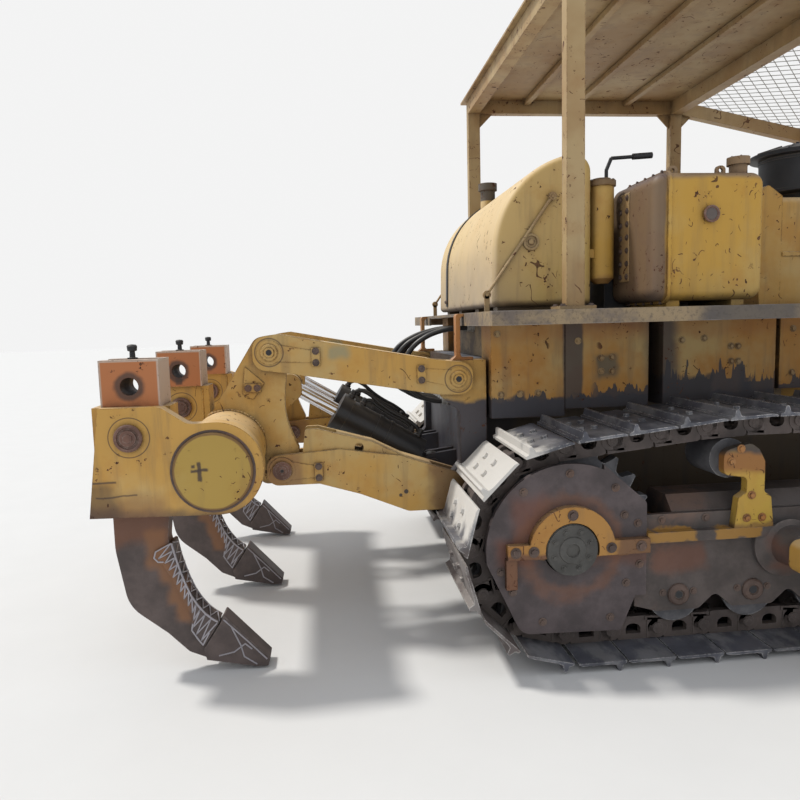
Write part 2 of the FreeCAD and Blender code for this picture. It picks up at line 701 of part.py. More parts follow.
# Side of the fuel tank: upright front and one long curve over the back
TANK_SIDE = [(258, TANK_BASE_Z, 20), (258, 2266, 85), (-205, 2127, 455), (-219, TANK_BASE_Z, 25)]
TANK_EDGE = 30
FILLER_SPOT = (20, 330)


def fuel_tank():
    """Tank across the rear with a curved back; skids under it rest on the deck."""
    body = slab(TANK_SIDE, -TANK_HALF, TANK_HALF)
    for end in (-TANK_HALF, TANK_HALF):
        body = softened(body, TANK_EDGE, end)
    skids = [box((-180, 200), (y - 40, y + 40), (DECK_Z, TANK_BASE_Z + 2)) for y in (-640, -230, 230, 640)]
    neck = rod_z(*FILLER_SPOT, 44, 2120, 2262)
    cap = rod_z(*FILLER_SPOT, 56, 2262, 2304)
    return joined([body, neck, cap] + skids)


HYD_X = (416, 922)
HYD_Y = (620, 1050)
HYD_Z = (1542, 2088)


def hydraulic_tank():
    """Rounded oil tank on the right deck with a bolted rear flange, two eyes and a filler cap."""
    outline_points = [(HYD_X[0], HYD_Z[0], 55), (HYD_X[1], HYD_Z[0], 55), (HYD_X[1], HYD_Z[1], 55),
                      (HYD_X[0], HYD_Z[1], 55)]
    body = softened(slab(outline_points, -HYD_Y[1], -HYD_Y[0]), 40, -HYD_Y[1])
    rim = 10
    flange = slab([(-HYD_Y[1] - rim, HYD_Z[0] - rim, 50), (-HYD_Y[0] + rim, HYD_Z[0] - rim, 50),
                   (-HYD_Y[0] + rim, HYD_Z[1] + rim, 50), (-HYD_Y[1] - rim, HYD_Z[1] + rim, 50)],
                  HYD_X[0] + 58, HYD_X[0] + 74, "yz")
    feet = [box((x, x + 60), (-HYD_Y[1] + 30, -HYD_Y[0] - 30), (DECK_Z, HYD_Z[0] + 2)) for x in (490, 790)]
    filler = rod_z(850, -950, 38, HYD_Z[1] - 2, HYD_Z[1] + 50)
    cap = rod_z(850, -950, 48, HYD_Z[1] + 45, HYD_Z[1] + 78)
    gauge = rod_y(666, 1908, 32, -HYD_Y[1] - 12, -HYD_Y[1] + 2)
    eyes = []
    for x in (520, 740):
        eye = slab([(x - 22, HYD_Z[1] - 1), (x + 22, HYD_Z[1] - 1), (x + 22, HYD_Z[1] + 34, 18),
                    (x - 22, HYD_Z[1] + 34, 18)], -1000, -986, holes=[(x, HYD_Z[1] + 14, 9)])
        eyes.append(eye)
    return joined([body, flange, filler, cap, gauge] + feet + eyes)


def filter_canister():
    """Tall filter with a bolted lid, held by a saddle on the tank's front."""
    x, y = 327, -690
    can = turned_z(x, y, [(1639, 34), (1662, 57), (2092, 57), (2092, 66), (2116, 66), (2116, 42), (2128, 42)])
    saddle = box((TANK_SIDE[0][0], x), (y - 30, y + 30), (1760, 1800))
    return joined([can, saddle])


BOX_X = (400, 920)
BOX_Z = (DECK_Z, 1930)
BOX_Y = (620, 1050)
BOX_WALL = 8
LID_HINGE = (BOX_Y[0] - 14, BOX_Z[1] + 8)


def battery_box():
    """Open-topped box on the left deck."""
    outer = box(BOX_X, BOX_Y, BOX_Z)
    inner = box((BOX_X[0] + BOX_WALL, BOX_X[1] - BOX_WALL),
                (BOX_Y[0] + BOX_WALL, BOX_Y[1] - BOX_WALL),
                (BOX_Z[0] + BOX_WALL, BOX_Z[1] + 10))
    hinges = [bar((x, *LID_HINGE), (x + 60, *LID_HINGE), 6) for x in (480, 780)]
    tabs = []
    for x in (480, 780):
        tabs.append(box((x, x + 60), (BOX_Y[0] - 20, BOX_Y[0]), (BOX_Z[1] - 40, BOX_Z[1] - 12)))
        tabs.append(box((x, x + 60), (BOX_Y[0] - 20, BOX_Y[0] - 9), (BOX_Z[1] - 40, BOX_Z[1] + 8)))
    return joined([outer.cut(inner)] + hinges + tabs)


def battery_lid():
    """Lid with folded edges, turning on the box's inner edge."""
    top = box((BOX_X[0] - 12, BOX_X[1] + 12), (BOX_Y[0] - 2, BOX_Y[1] + 12), (BOX_Z[1], BOX_Z[1] + 4))
    front = box((BOX_X[0] - 12, BOX_X[1] + 12), (BOX_Y[1] + 8, BOX_Y[1] + 12),
                (BOX_Z[1] - 35, BOX_Z[1] + 4))
    sides = [box((x, x + 4), (BOX_Y[0] + 30, BOX_Y[1] + 12), (BOX_Z[1] - 35, BOX_Z[1] + 4))
             for x in (BOX_X[0] - 12, BOX_X[1] + 8)]
    handle = box((630, 690), (BOX_Y[1] + 12, BOX_Y[1] + 26), (BOX_Z[1] - 25, BOX_Z[1] - 15))
    knuckle = box((560, 760), (LID_HINGE[0] - 8, BOX_Y[0] - 1), (BOX_Z[1], BOX_Z[1] + 4))
    return joined([top, front, handle, knuckle] + sides)


def seat():
    """Cushion and backrest on a pedestal."""
    pedestal = box((480, 820), (-220, 220), (DECK_Z, 1780))
    cushion = slab([(400, 1780, 30), (900, 1780, 40), (900, 1890, 50), (400, 1870, 40)], -260, 260)
    back = slab([(330, 1840, 30), (430, 1840, 30), (380, 2330, 45), (280, 2320, 45)], -240, 240)
    return joined([pedestal, cushion, back])


def control_console():
    return slab([(380, DECK_Z), (820, DECK_Z), (820, 1960, 30), (380, 2010, 30)], -600, -450)


def control_levers():
    """Ripper lever with a bent rod and a grip, and two steering levers at the cowl."""
    bent = joined([bar((420, -520, 2007), (420, -520, 2205), 9),
                   bar((420, -520, 2205), (445, -520, 2262), 9),
                   bar((445, -520, 2262), (560, -520, 2270), 9),
                   bar((556, -520, 2270), (655, -520, 2277), 15)])
    levers = [bent]
    for y in (-120, 120):
        rod = bar((1180, y, DECK_Z + 1.6), (1110, y, 2060), 11)
        grip = bar((1112, y, 2050), (1090, y, 2180), 18)
        levers.append(joined([rod, grip]))
    return levers


def canopy_posts():
    """Four square posts with foot plates on the deck."""
    posts = []
    for x in POST_X:
        for y in (-POST_Y, POST_Y):
            post = box((x - POST_LENGTH / 2, x + POST_LENGTH / 2),
                       (y - POST_WIDTH / 2, y + POST_WIDTH / 2), (DECK_Z, BEAM_Z[0]))
            foot = box((x - 80, x + 80), (y - 65, y + 65), (DECK_Z, DECK_Z + 16))
            posts.append(joined([post, foot]))
    return posts


def canopy_beams():
    """Ring of beams on the posts."""
    x0, x1 = POST_X[0] - POST_LENGTH / 2, POST_X[1] + POST_LENGTH / 2
    y0, y1 = POST_Y - POST_WIDTH / 2, POST_Y + POST_WIDTH / 2
    sides = [box((x0, x1), span, BEAM_Z) for span in ((-y1, -y0), (y0, y1))]
    cross = [box(span, (-y0, y0), BEAM_Z) for span in ((x0, x0 + POST_LENGTH), (x1 - POST_LENGTH, x1))]
    return joined(sides + cross)


def canopy_roof():
    x0, x1 = POST_X[0] - POST_LENGTH / 2, POST_X[1] + POST_LENGTH / 2
    half = POST_Y + POST_WIDTH / 2 + ROOF_OVERHANG
    return box((x0 - 30, x1), (-half, half), (BEAM_Z[1], ROOF_Z))


def canopy_visor():
    """Sloping front members that carry the mesh sheet."""
    x0, x1 = POST_X[1] + POST_LENGTH / 2, VISOR_FRONT_X
    top, low = BEAM_Z[1], BEAM_Z[1] - VISOR_DROP
    depth = BEAM_Z[1] - BEAM_Z[0]
    side = [(x0, top), (x1, low), (x1, low - depth), (x0, top - depth)]
    y0, y1 = POST_Y - POST_WIDTH / 2, POST_Y + POST_WIDTH / 2
    members = [slab(side, *span) for span in ((-y1, -y0), (y0, y1))]
    slope = (top - low) / (x1 - x0)
    back = x1 - POST_LENGTH
    rise = POST_LENGTH * slope
    front = slab([(back, low + rise), (x1, low), (x1, low - depth), (back, low - depth + rise)],
                 -y0, y0)
    return joined(members + [front])


def visor_mesh():
    """Flat sheet on top of the sloping members."""
    x0, x1 = POST_X[1] + POST_LENGTH / 2 + 2, VISOR_FRONT_X
    top, low = BEAM_Z[1], BEAM_Z[1] - VISOR_DROP
    half = POST_Y + POST_WIDTH / 2 + 10
    return slab([(x0, top), (x1, low), (x1, low + 6), (x0, top + 6)], -half, half)


def precleaner():
    """Mushroom air intake on the hood."""
    return turned_z(1800, 0, [(HOOD_TOP_Z, 95), (2168, 95), (2172, 200), (2372, 204), (2376, 254),
                              (2398, 254), (2446, 90)])


def exhaust():
    """Muffler and upright pipe on the hood."""
    return turned_z(2330, 170, [(HOOD_TOP_Z, 55), (2125, 55), (2125, 100), (2420, 100), (2420, 48),
                                (2620, 48)])


def headlights():
    lamps = []
    for y in (-330, 330):
        stalk = box((3170, 3210), (y - 20, y + 20), (2075, 2110))
        lamp = Part.makeCylinder(72, 90, Vector(3150, y, 2165), Vector(1, 0, 0))
        lamps.append(joined([stalk, lamp]))
    return lamps


# Blade

def blade_points(offset):
    """Curved section of the blade from foot to top, moved back by offset."""
    foot = (BLADE_FRONT_X - 60, BLADE_FOOT_Z + 190)
    top = (BLADE_FRONT_X - 40, BLADE_FOOT_Z + BLADE_HEIGHT)
    rise = top[1] - foot[1]
    sag = BLADE_RADIUS - math.sqrt(BLADE_RADIUS ** 2 - (rise / 2) ** 2)
    middle = ((foot[0] + top[0]) / 2 - sag, (foot[1] + top[1]) / 2)
    return [(x - offset, z) for x, z in (foot, middle, top)]


def blade_rear_x():
    """Rear of the ribs at the middle of the blade's back."""
    return blade_points(BLADE_SKIN)[1][0] - 95


def blade():
    """Curved plate with beams and ribs behind it, and pairs of ears for the lift rods."""
    front = [Vector(x, 0, z) for x, z in blade_points(0)]
    back = [Vector(x, 0, z) for x, z in blade_points(BLADE_SKIN)]
    inside = [Vector(x, 0, z) for x, z in blade_points(BLADE_SKIN - 2)]
    deep = Vector(-900, 0, 0)
    skin = Part.Wire([Part.Arc(*front).toShape(), Part.LineSegment(front[2], back[2]).toShape(),
                      Part.Arc(back[2], back[1], back[0]).toShape(),
                      Part.LineSegment(back[0], front[0]).toShape()])
    behind = Part.Wire([Part.Arc(*inside).toShape(), Part.LineSegment(inside[2], inside[2] + deep).toShape(),
                        Part.LineSegment(inside[2] + deep, inside[0] + deep).toShape(),
                        Part.LineSegment(inside[0] + deep, inside[0]).toShape()])
    solids = []
    for wire in (skin, behind):
        face = Part.Face(wire)
        face.translate(Vector(0, -BLADE_HALF, 0))
        solids.append(face.extrude(Vector(0, 2 * BLADE_HALF, 0)))
    skin, behind = solids
    rear_x = blade_rear_x()
    low_z, high_z = front[0].z, front[2].z
    pieces = []
    # Beams behind the plate: (low edge, high edge, rear)
    for low, high, rear in ((low_z, 380, rear_x - 40), (620, 760, rear_x),
                            (high_z - 150, high_z, rear_x + 50)):
        pieces.append(box((rear, BLADE_FRONT_X), (-BLADE_HALF, BLADE_HALF), (low, high)))
    for y in (-BLADE_HALF, -ARM_Y[1] - 40, -ARM_Y[0], -690, -300, 260, 650, ARM_Y[0] - 40, ARM_Y[1],
              BLADE_HALF - 40):
        pieces.append(slab([(rear_x - 30, low_z), (BLADE_FRONT_X, low_z), (BLADE_FRONT_X, high_z),
                            (rear_x + 60, high_z)], y, y + 40))
    pieces += blade_lugs()
    return joined([skin, joined(pieces).common(behind)])


def cutting_edge():
    """Bolted edge plate and two end bits along the foot."""
    foot = blade_points(0)[0]
    low = BLADE_FOOT_Z
    return slab([foot, (foot[0] - BLADE_SKIN, foot[1]), (BLADE_FRONT_X - BLADE_SKIN, low),
                 (BLADE_FRONT_X, low)], -BLADE_HALF, BLADE_HALF)


def push_arm():
    """Box arm outside the track from its trunnion to the blade's foot."""
    x, z = TRUNNION
    end_x = blade_rear_x() - 40
    side = [(x - 95, z - 60, 40), (x + 120, z - 105), (end_x - 120, 215), (end_x, 215), (end_x, 378),
            (end_x - 120, 425), (x + 120, z + 105), (x - 95, z + 60, 40)]
    arm = slab(side, *ARM_Y)
    return arm.cut(rod_y(x, z, 62 + GAP, ARM_Y[0] - 1, ARM_Y[1] + 1))


def blade_brace():
    """Strut from the arm up to a pin between two of the blade's ribs."""
    x, z = blade_rear_x() + 20, 905
    y = (ARM_Y[0] + ARM_Y[1]) / 2
    strut = bar((2950, y, 445), (x, y, z), 52)
    return joined([strut, rod_y(x, z, 30, *ARM_Y)])


def lift_direction():
    dx, dz = LIFT_EYE[0] - LIFT_PIVOT[0], LIFT_EYE[1] - LIFT_PIVOT[1]
    length = math.hypot(dx, dz)
    return dx / length, dz / length, length


def lift_barrels():
    """Blade lift cylinders, each hung on its trunnion pins."""
    dx, dz, _ = lift_direction()
    x, z = LIFT_PIVOT
    barrels = []
    for y in (-LIFT_Y, LIFT_Y):
        start = (x - dx * LIFT_BACK, y, z - dz * LIFT_BACK)
        end = (x + dx * LIFT_FRONT, y, z + dz * LIFT_FRONT)
        tube = bar(start, end, LIFT_BORE_RADIUS)
        head = bar((x + dx * (LIFT_FRONT - 60), y, z + dz * (LIFT_FRONT - 60)), end, LIFT_BORE_RADIUS + 14)
        collar = bar((x - dx * 55, y, z - dz * 55), (x + dx * 55, y, z + dz * 55), LIFT_BORE_RADIUS + 14)
        pins = rod_y(x, z, 30, y - 114, y + 114)
        bore_start = (x - dx * (LIFT_BACK - 60), y, z - dz * (LIFT_BACK - 60))
        bore_end = (x + dx * (LIFT_FRONT + 10), y, z + dz * (LIFT_FRONT + 10))
        barrel = joined([tube, head, collar, pins])
        barrels.append(barrel.cut(bar(bore_start, bore_end, LIFT_ROD_RADIUS + 1)))
    return barrels


def lift_rods():
    """Lift cylinder rods with the eyes at the blade; the eye carries its own pin between the lugs."""
    dx, dz, length = lift_direction()
    rods = []
    for y in (-LIFT_Y, LIFT_Y):
        reach = length - LIFT_FRONT + LIFT_ROD_INSIDE
        start = (LIFT_EYE[0] - dx * reach, y, LIFT_EYE[1] - dz * reach)
        rod = bar(start, (LIFT_EYE[0] - dx * 40, y, LIFT_EYE[1] - dz * 40), LIFT_ROD_RADIUS)
        eye = rod_y(LIFT_EYE[0], LIFT_EYE[1], 62, y - 40, y + 40)
        rods.append(joined([rod, eye]))
    return rods


def lift_yokes():
    """Each yoke: an inner boss on the nose, an outer ear, and the arm that ties them below the barrel."""
    x, z = LIFT_PIVOT
    solids = []
    for side in (-1, 1):
        inner = sorted((side * GUARD_HALF, side * (LIFT_Y - 98)))
        outer = sorted((side * (LIFT_Y + 98), side * (LIFT_Y + 128)))
        boss = rod_y(x, z, 66, *inner)
        ear = slab([(x - 60, z + 50, 50), (x + 60, z + 50, 50), (x + 60, z - 60), (x - 20, z - 420),
                    (x - 40, z - 420), (x - 40, z - 60)], *outer)
        arm = box((x - 40, x - 20), sorted((side * GUARD_HALF, outer[1] if side > 0 else outer[0])),
                  (z - 420, z - 330))
        whole = joined([ear, arm])
        hole = rod_y(x, z, 30 + GAP, -900, 900)
        solids += [boss.cut(hole), whole.cut(hole)]
    return solids


def blade_lugs():
    """Pairs of ears for the lift rods, on the blade's lower beams."""
    x, z = LIFT_EYE
    lugs = []
    for y in (-LIFT_Y, LIFT_Y):
        for low in (y - 78, y + 46):
            lugs.append(slab([(x - 60, z - 62, 55), (x + 60, z - 230), (BLADE_FRONT_X, z - 230),
                               (BLADE_FRONT_X, z + 180), (x + 60, z + 180), (x - 60, z + 62, 55)],
                              low, low + 32))
    return lugs


# Ripper

def ripper_bracket():
    """Side plates and a back plate on the rear of the case, with ears for the cylinders."""
    low, high = BRACKET_Z
    front = BRACKET_X[1]
    inner = LINK_Y - PLATE_HALF
    rib_side = LINK_Y - FORK_OUTER - PIN_HEAD - FORK_GAP
    rear = UPPER_FRONT[0] - 74
    pieces = [box((CASE_REAR_X - 30, CASE_REAR_X), (-rib_side, rib_side), BRACKET_Z)]
    for side in (-1, 1):
        plate = slab([(front, high), (rear, high, 40), (rear, UPPER_FRONT[1] - 90, 40), (-360, 1040),
                      (-360, 790), (LOWER_FRONT[0] - 78, LOWER_FRONT[1] + 75, 40),
                      (LOWER_FRONT[0] - 78, LOWER_FRONT[1] - 78, 60), (front, LOWER_FRONT[1] - 78)],
                     side * LINK_Y - PLATE_HALF, side * LINK_Y + PLATE_HALF,
                     holes=[(*UPPER_FRONT, UPPER_PIN + GAP), (*LOWER_FRONT, LOWER_PIN + GAP)])
        pieces.append(plate)
        pieces.append(box((CASE_REAR_X - 30, front), sorted((side * HULL_SIDE, side * rib_side)),
                          (low, high)))
        pieces.append(box(BRACKET_X, sorted((side * HULL_SIDE, side * inner)),
                          (LOWER_FRONT[1] + 118, high)))
        x, z = RIPPER_BASE
        for offset in (-62, 32):
            ear_y = side * RIPPER_CYL_Y + offset
            pieces.append(slab([(CASE_REAR_X - 5, z - 110), (CASE_REAR_X - 5, z + 78),
                                (x - 55, z + 52, 48), (x - 55, z - 52, 48)], ear_y, ear_y + 30))
        pieces.append(rod_y(x, z, CYLINDER_PIN, side * RIPPER_CYL_Y - 74, side * RIPPER_CYL_Y + 74))
    return joined(pieces)


def fork_link(side_points, front, rear, pin, depth, fin=None):
    """Link whose ends straddle a plate, with its two pins; depth is each slot's reach past the pin."""
    link = slab(side_points, LINK_Y - FORK_OUTER, LINK_Y + FORK_OUTER)
    if fin is not None:
        link = link.cut(fin.common(link)).fuse(fin)
    length = math.hypot(rear[0] - front[0], rear[1] - front[1])
    ux, uz = (rear[0] - front[0]) / length, (rear[1] - front[1]) / length
    half_gap = PLATE_HALF + FORK_GAP
    beyond, tall = 200, 400
    for (x, z), sign, reach in ((front, 1, depth[0]), (rear, -1, depth[1])):
        web = (x + sign * ux * reach, z + sign * uz * reach)
        mouth = (x - sign * ux * beyond, z - sign * uz * beyond)
        slot = [(a - sense * uz * tall, b + sense * ux * tall)
                for (a, b), sense in ((mouth, 1), (web, 1), (web, -1), (mouth, -1))]
        link = link.cut(slab(slot, LINK_Y - half_gap, LINK_Y + half_gap))
    pins = [rod_y(x, z, pin, LINK_Y - FORK_OUTER - PIN_HEAD, LINK_Y + FORK_OUTER + PIN_HEAD)
            for x, z in (front, rear)]
    return joined([link] + pins)


def pin_lock(pin, keeper, radius):
    """Boss and head round a pin on a link's outer cheek, with the flag plate that a keeper block holds."""
    cheek = LINK_Y + FORK_OUTER
    (px, pz), (kx, kz) = pin, keeper
    away = math.hypot(kx - px, kz - pz)
    ux, uz = (kx - px) / away, (kz - pz) / away
    wide, narrow = radius + 10, 26
    flag = [(px - uz * wide, pz + ux * wide), (px + uz * wide, pz - ux * wide),
            (kx + uz * narrow, kz - ux * narrow), (kx - uz * narrow, kz + ux * narrow)]
    return [rod_y(px, pz, radius + 24, cheek, cheek + 5), rod_y(px, pz, radius + 8, cheek, cheek + PIN_HEAD),
            slab(flag, cheek, cheek + 4),
            box((kx - 20, kx + 20), (cheek, cheek + PIN_HEAD), (kz - 42, kz + 42))]


def upper_link():
    """Plain link above, its outline bowed a little above the line of its pins."""
    fx, fz = UPPER_FRONT
    rx, rz = UPPER_REAR
    points = [(rx - 76, rz + 70, 62), (rx + 40, rz + 84, 30), (fx - 90, fz + 92, 30), (fx + 72, fz + 76, 62),
              (fx + 72, fz - 80, 62), (fx - 95, fz - 72, 30), (rx + 60, rz - 96, 30), (rx - 76, rz - 76, 62)]
    link = fork_link(points, UPPER_FRONT, UPPER_REAR, UPPER_PIN, (150, 230))
    return joined([link] + pin_lock(UPPER_REAR, (-1047, 1330), UPPER_PIN)
                  + pin_lock(UPPER_FRONT, (-552, 1232), UPPER_PIN))


def lower_link():
    """Deep link below, with a fin on its back that is set in from both cheeks."""
    fx, fz = LOWER_FRONT
    rx, rz = LOWER_REAR
    points = [(rx - 70, rz + 68, 55), (rx + 70, rz + 76), (-949, 888), (-664, 844),
              (fx + 72, fz + 62, 55), (fx + 72, fz - 76, 60), (fx - 290, fz - 76, 60),
              (fx - 520, fz + 20, 60), (rx + 173, rz - 72), (rx - 70, rz - 72, 55)]
    fin = [(-1128, 860), (-1112, 987, 14), (-1052, 989, 20), (-790, 914, 60), (-571, 800), (-664, 780),
           (-949, 820)]
    hole = (-858, 889, 22)
    inset = 15
    link = fork_link(points, LOWER_FRONT, LOWER_REAR, LOWER_PIN, (190, 230),
                     slab(fin, LINK_Y - FORK_OUTER + inset, LINK_Y + FORK_OUTER - inset, holes=[hole]))
    return joined([link] + pin_lock(LOWER_REAR, (-1053, 786), LOWER_PIN))


def ripper_beam():
    """Round cross tube with arms for the links, ears for the cylinders, end plates and pocket columns."""
    cx, cz = BEAM_CENTRE
    pieces = [rod_y(cx, cz, BEAM_RADIUS, -BEAM_HALF + 20, BEAM_HALF - 20)]
    for side in (-1, 1):
        y = side * LINK_Y
        arm = slab([(UPPER_REAR[0] - 62, UPPER_REAR[1] + 74, 60),
                    (UPPER_REAR[0] + 62, UPPER_REAR[1] + 74, 60),
                    (UPPER_REAR[0] + 72, UPPER_REAR[1] - 100), (-1208, 1050, 360),
                    (LOWER_REAR[0] + 82, LOWER_REAR[1] + 93, 30),
                    (LOWER_REAR[0] + 66, LOWER_REAR[1] - 68, 60),
                    (LOWER_REAR[0] - 80, LOWER_REAR[1] - 68, 40),
                    (-1400, 790), (-1640, 960), (-1545, 1075, 60)],
                   y - PLATE_HALF, y + PLATE_HALF,
                   holes=[(*UPPER_REAR, UPPER_PIN + GAP), (*LOWER_REAR, LOWER_PIN + GAP)])
        pieces.append(arm)
        # Plate and keeper block that hold the upper pin's flag, out of the link's reach
        outside = sorted((side * (LINK_Y + PLATE_HALF - 1), side * (LINK_Y + PLATE_HALF + 8)))
        pieces.append(slab([(-1292, 1212), (-1379, 1292), (-1394, 1164), (-1346, 1138)], *outside))
        outside = sorted((side * (LINK_Y + PLATE_HALF - 1), side * (LINK_Y + PLATE_HALF + 20)))
        pieces.append(box((-1382, -1308), outside, (1172, 1212)))
        for low in (-78, 46):
            ear_y = side * RIPPER_CYL_Y + low
            ex, ez = RIPPER_EYE
            ear = slab([(ex - 62, ez + 62, 60), (ex + 62, ez + 62, 60), (ex + 62, ez - 50, 50), (-1330, 960),
                        (-1480, 1060)], ear_y, ear_y + 32)
            pieces.append(ear)
    for y in SHANK_Y:
        column = box((-1950, -1640), (y - POCKET_HALF, y + POCKET_HALF), (728, 1165))
        pieces.append(column)
        pieces.append(box((-1905, -1672), (y - POCKET_HALF - 25, y + POCKET_HALF + 25), (1165, 1357)))
    end_side = [(REAR_X, 729), (-1903, 1170), (-1667, 1170, 60), (-1560, 1095, 60), (-1268, 1108, 186),
                (-1268, 716, 186)]
    for low, high in ((-BEAM_HALF, -BEAM_HALF + END_PLATE), (BEAM_HALF - END_PLATE, BEAM_HALF)):
        pieces.append(slab(end_side, low, high))
        pieces.append(rod_y(cx, 900, COVER_RADIUS, low - COVER_PROUD, high + COVER_PROUD))
    beam = joined(pieces)
    short = POCKET_HALF + PIN_HEAD
    long = BEAM_HALF + PIN_HEAD
    # Shank pins: each outer one runs through the end plate beside its pocket
    pin_ends = ((-long, SHANK_Y[0] + short), (-short, short), (SHANK_Y[2] - short, long))
    for y, ends in zip(SHANK_Y, pin_ends):
        beam = beam.cut(box(POCKET_X, (y - SHANK_HALF - 2, y + SHANK_HALF + 2), (700, 1400)))
        beam = beam.cut(rod_y(*SHANK_HOLE_SPOT, SHANK_HOLE, y - 200, y + 200))
        beam = beam.fuse(rod_y(*SHANK_PIN_SPOT, SHANK_PIN, *ends))
    return beam.removeSplitter()


# Side of a shank: (x, z) with corner radii; the nose is the part inside its point
SHANK_SIDE = [(-1907, 1330), (-1680, 1330), (-1680, 690), (-1690, 600, 60), (-1637, 297, 320), (-1512, 212),
              (-1430, 140), (-1470, 95), (-1560, 64), (-1629, 95, 40), (-1712, 183), (-1866, 310, 160),
              (-1907, 560, 300)]
# Point that caps the nose, and the guard that wraps the front edge above it
POINT_SIDE = [(-1491, 218), (-1476, 250, 6), (-1288, 42, 6), (-1298, 12), (-1345, 12), (-1556, 57),
              (-1566, 106)]
GUARD_SIDE = [(-1751, 539, 14), (-1669, 587, 8), (-1620, 305, 310), (-1496, 221), (-1569, 114, 12),
              (-1622, 186, 14), (-1606, 250, 20), (-1640, 325), (-1684, 430), (-1716, 490),
              (-1751, 500, 14)]


def shanks():
    """Curved shanks in the pockets."""
    holes = [(*SHANK_HOLE_SPOT, SHANK_HOLE), (*SHANK_PIN_SPOT, SHANK_PIN + GAP)]
    return [slab(SHANK_SIDE, y - SHANK_HALF, y + SHANK_HALF, holes=holes) for y in SHANK_Y]


def shank_tips():
    """Replaceable points on the shank noses, and the guards that wrap the front edges above them."""
    pieces = []
    for y in SHANK_Y:
        shank = slab(SHANK_SIDE, y - SHANK_HALF - GAP, y + SHANK_HALF + GAP)
        pieces.append(slab(POINT_SIDE, y - 52, y + 52).cut(shank))
        pieces.append(slab(GUARD_SIDE, y - 48, y + 48).cut(shank))
    return pieces


HOSE_RADIUS = 14
# Side position of each rear hose, and how much further back its loop hangs
REAR_HOSES = [(-152, 0), (-88, 46), (-16, 18), (64, 60), (140, 24)]
# Loop of a rear hose from the floor's rear wall to the bracket's back plate: (x, z, share of the reach)
HOSE_LOOP = [(CASE_REAR_X + FLOOR_RECESS, 1442, 0), (-258, 1442, 0), (-340, 1436, 0.3), (-430, 1410, 0.6),
             (-515, 1358, 0.9), (-570, 1280, 1), (-580, 1190, 1), (-545, 1110, 0.8), (-475, 1060, 0.4),
             (-400, 1040, 0), (CASE_REAR_X - 30, 1040, 0)]


def rear_hoses():
    """Hoses that hang in loops behind the floor and run to the ripper cylinders' valves in the bracket."""
    return [hose([(x - reach * share, y, z) for x, z, share in HOSE_LOOP], HOSE_RADIUS)
            for y, reach in REAR_HOSES]


def deck_struts():
    """Bent plates that prop the decks' rear edges on the bracket's side plates."""
    low, high = BRACKET_Z[1], DECK_Z - 2
    plate = 14
    side = [(-396, low), (-290, low), (-290, low + plate), (-352, low + plate, 16), (-352, high - plate, 16),
            (DECK_REAR_X, high - plate), (DECK_REAR_X, high), (-372, high, 14), (-372, low + 20, 20)]
    return slab(side, LINK_Y - 30, LINK_Y + 30)


def ripper_direction():
    dx, dz = RIPPER_EYE[0] - RIPPER_BASE[0], RIPPER_EYE[1] - RIPPER_BASE[1]
    length = math.hypot(dx, dz)
    return dx / length, dz / length, length


def ripper_barrels():
    """Ripper cylinders, pinned to the bracket."""
    dx, dz, _ = ripper_direction()
    x, z = RIPPER_BASE
    barrels = []
    for y in (-RIPPER_CYL_Y, RIPPER_CYL_Y):
        end = (x + dx * RIPPER_BARREL, y, z + dz * RIPPER_BARREL)
        tube = bar((x + dx * 88, y, z + dz * 88), end, RIPPER_BORE_RADIUS)
        head_start = (x + dx * (RIPPER_BARREL - 60), y, z + dz * (RIPPER_BARREL - 60))
        head = bar(head_start, end, RIPPER_BORE_RADIUS + 12)
        eye = rod_y(x, z, 58, y - 27, y + 27)
        neck = bar((x, y, z), (x + dx * 95, y, z + dz * 95), 27)
        barrel = joined([tube, head, eye, neck]).cut(rod_y(x, z, CYLINDER_PIN + GAP, y - 100, y + 100))
        mouth = (x + dx * (RIPPER_BARREL + 10), y, z + dz * (RIPPER_BARREL + 10))
        bore = bar((x + dx * 110, y, z + dz * 110), mouth, RIPPER_ROD_RADIUS + 1)
        barrels.append(barrel.cut(bore))
    return barrels


PIPE_RADIUS = 11
# Line of a pipe on a ripper cylinder: (distance along the axis, height over the axis)
PIPE_LINE = [(552, 96), (550, 132), (524, 158), (470, 160), (400, 142), (320, 134), (240, 137), (172, 128),
             (146, 112), (138, 84)]
# The barrel's second pipe ends short of the head
SHORT_PIPE = [(478, 84), (474, 116), (450, 134), (400, 122), (320, 117), (245, 121), (200, 114), (182, 84)]


def ripper_pipes():
    """Oil pipes along the top of each ripper cylinder, from the head and from the foot of the barrel."""
    dx, dz, _ = ripper_direction()
    x, z = RIPPER_BASE
    pipes = []
    for side, barrel in zip((-1, 1), ripper_barrels()):
        for shift, line in ((side * 16, PIPE_LINE), (-side * 16, SHORT_PIPE)):
            y = side * RIPPER_CYL_Y + shift
            spots = [(x + dx * along + dz * up, y, z + dz * along - dx * up) for along, up in line]
            pipes.append(hose(spots, PIPE_RADIUS).cut(barrel))
    return pipes


def ripper_rods():
    """Ripper cylinder rods; the eye carries its own pin between the beam's ears."""
    dx, dz, length = ripper_direction()
    rods = []
    for y in (-RIPPER_CYL_Y, RIPPER_CYL_Y):
        start = length - RIPPER_ROD_LENGTH
        rod = bar((RIPPER_BASE[0] + dx * start, y, RIPPER_BASE[1] + dz * start),
                  (RIPPER_EYE[0] - dx * 40, y, RIPPER_EYE[1] - dz * 40), RIPPER_ROD_RADIUS)
        eye = rod_y(RIPPER_EYE[0], RIPPER_EYE[1], 58, y - 41, y + 41)
        rods.append(joined([rod, eye]))
    return rods


print("sprocket radius", round(SPROCKET_RADIUS, 1), "axle", round(AXLE_Z, 1), "idler x", round(IDLER_X, 1),
      "centre", CENTRE_X)

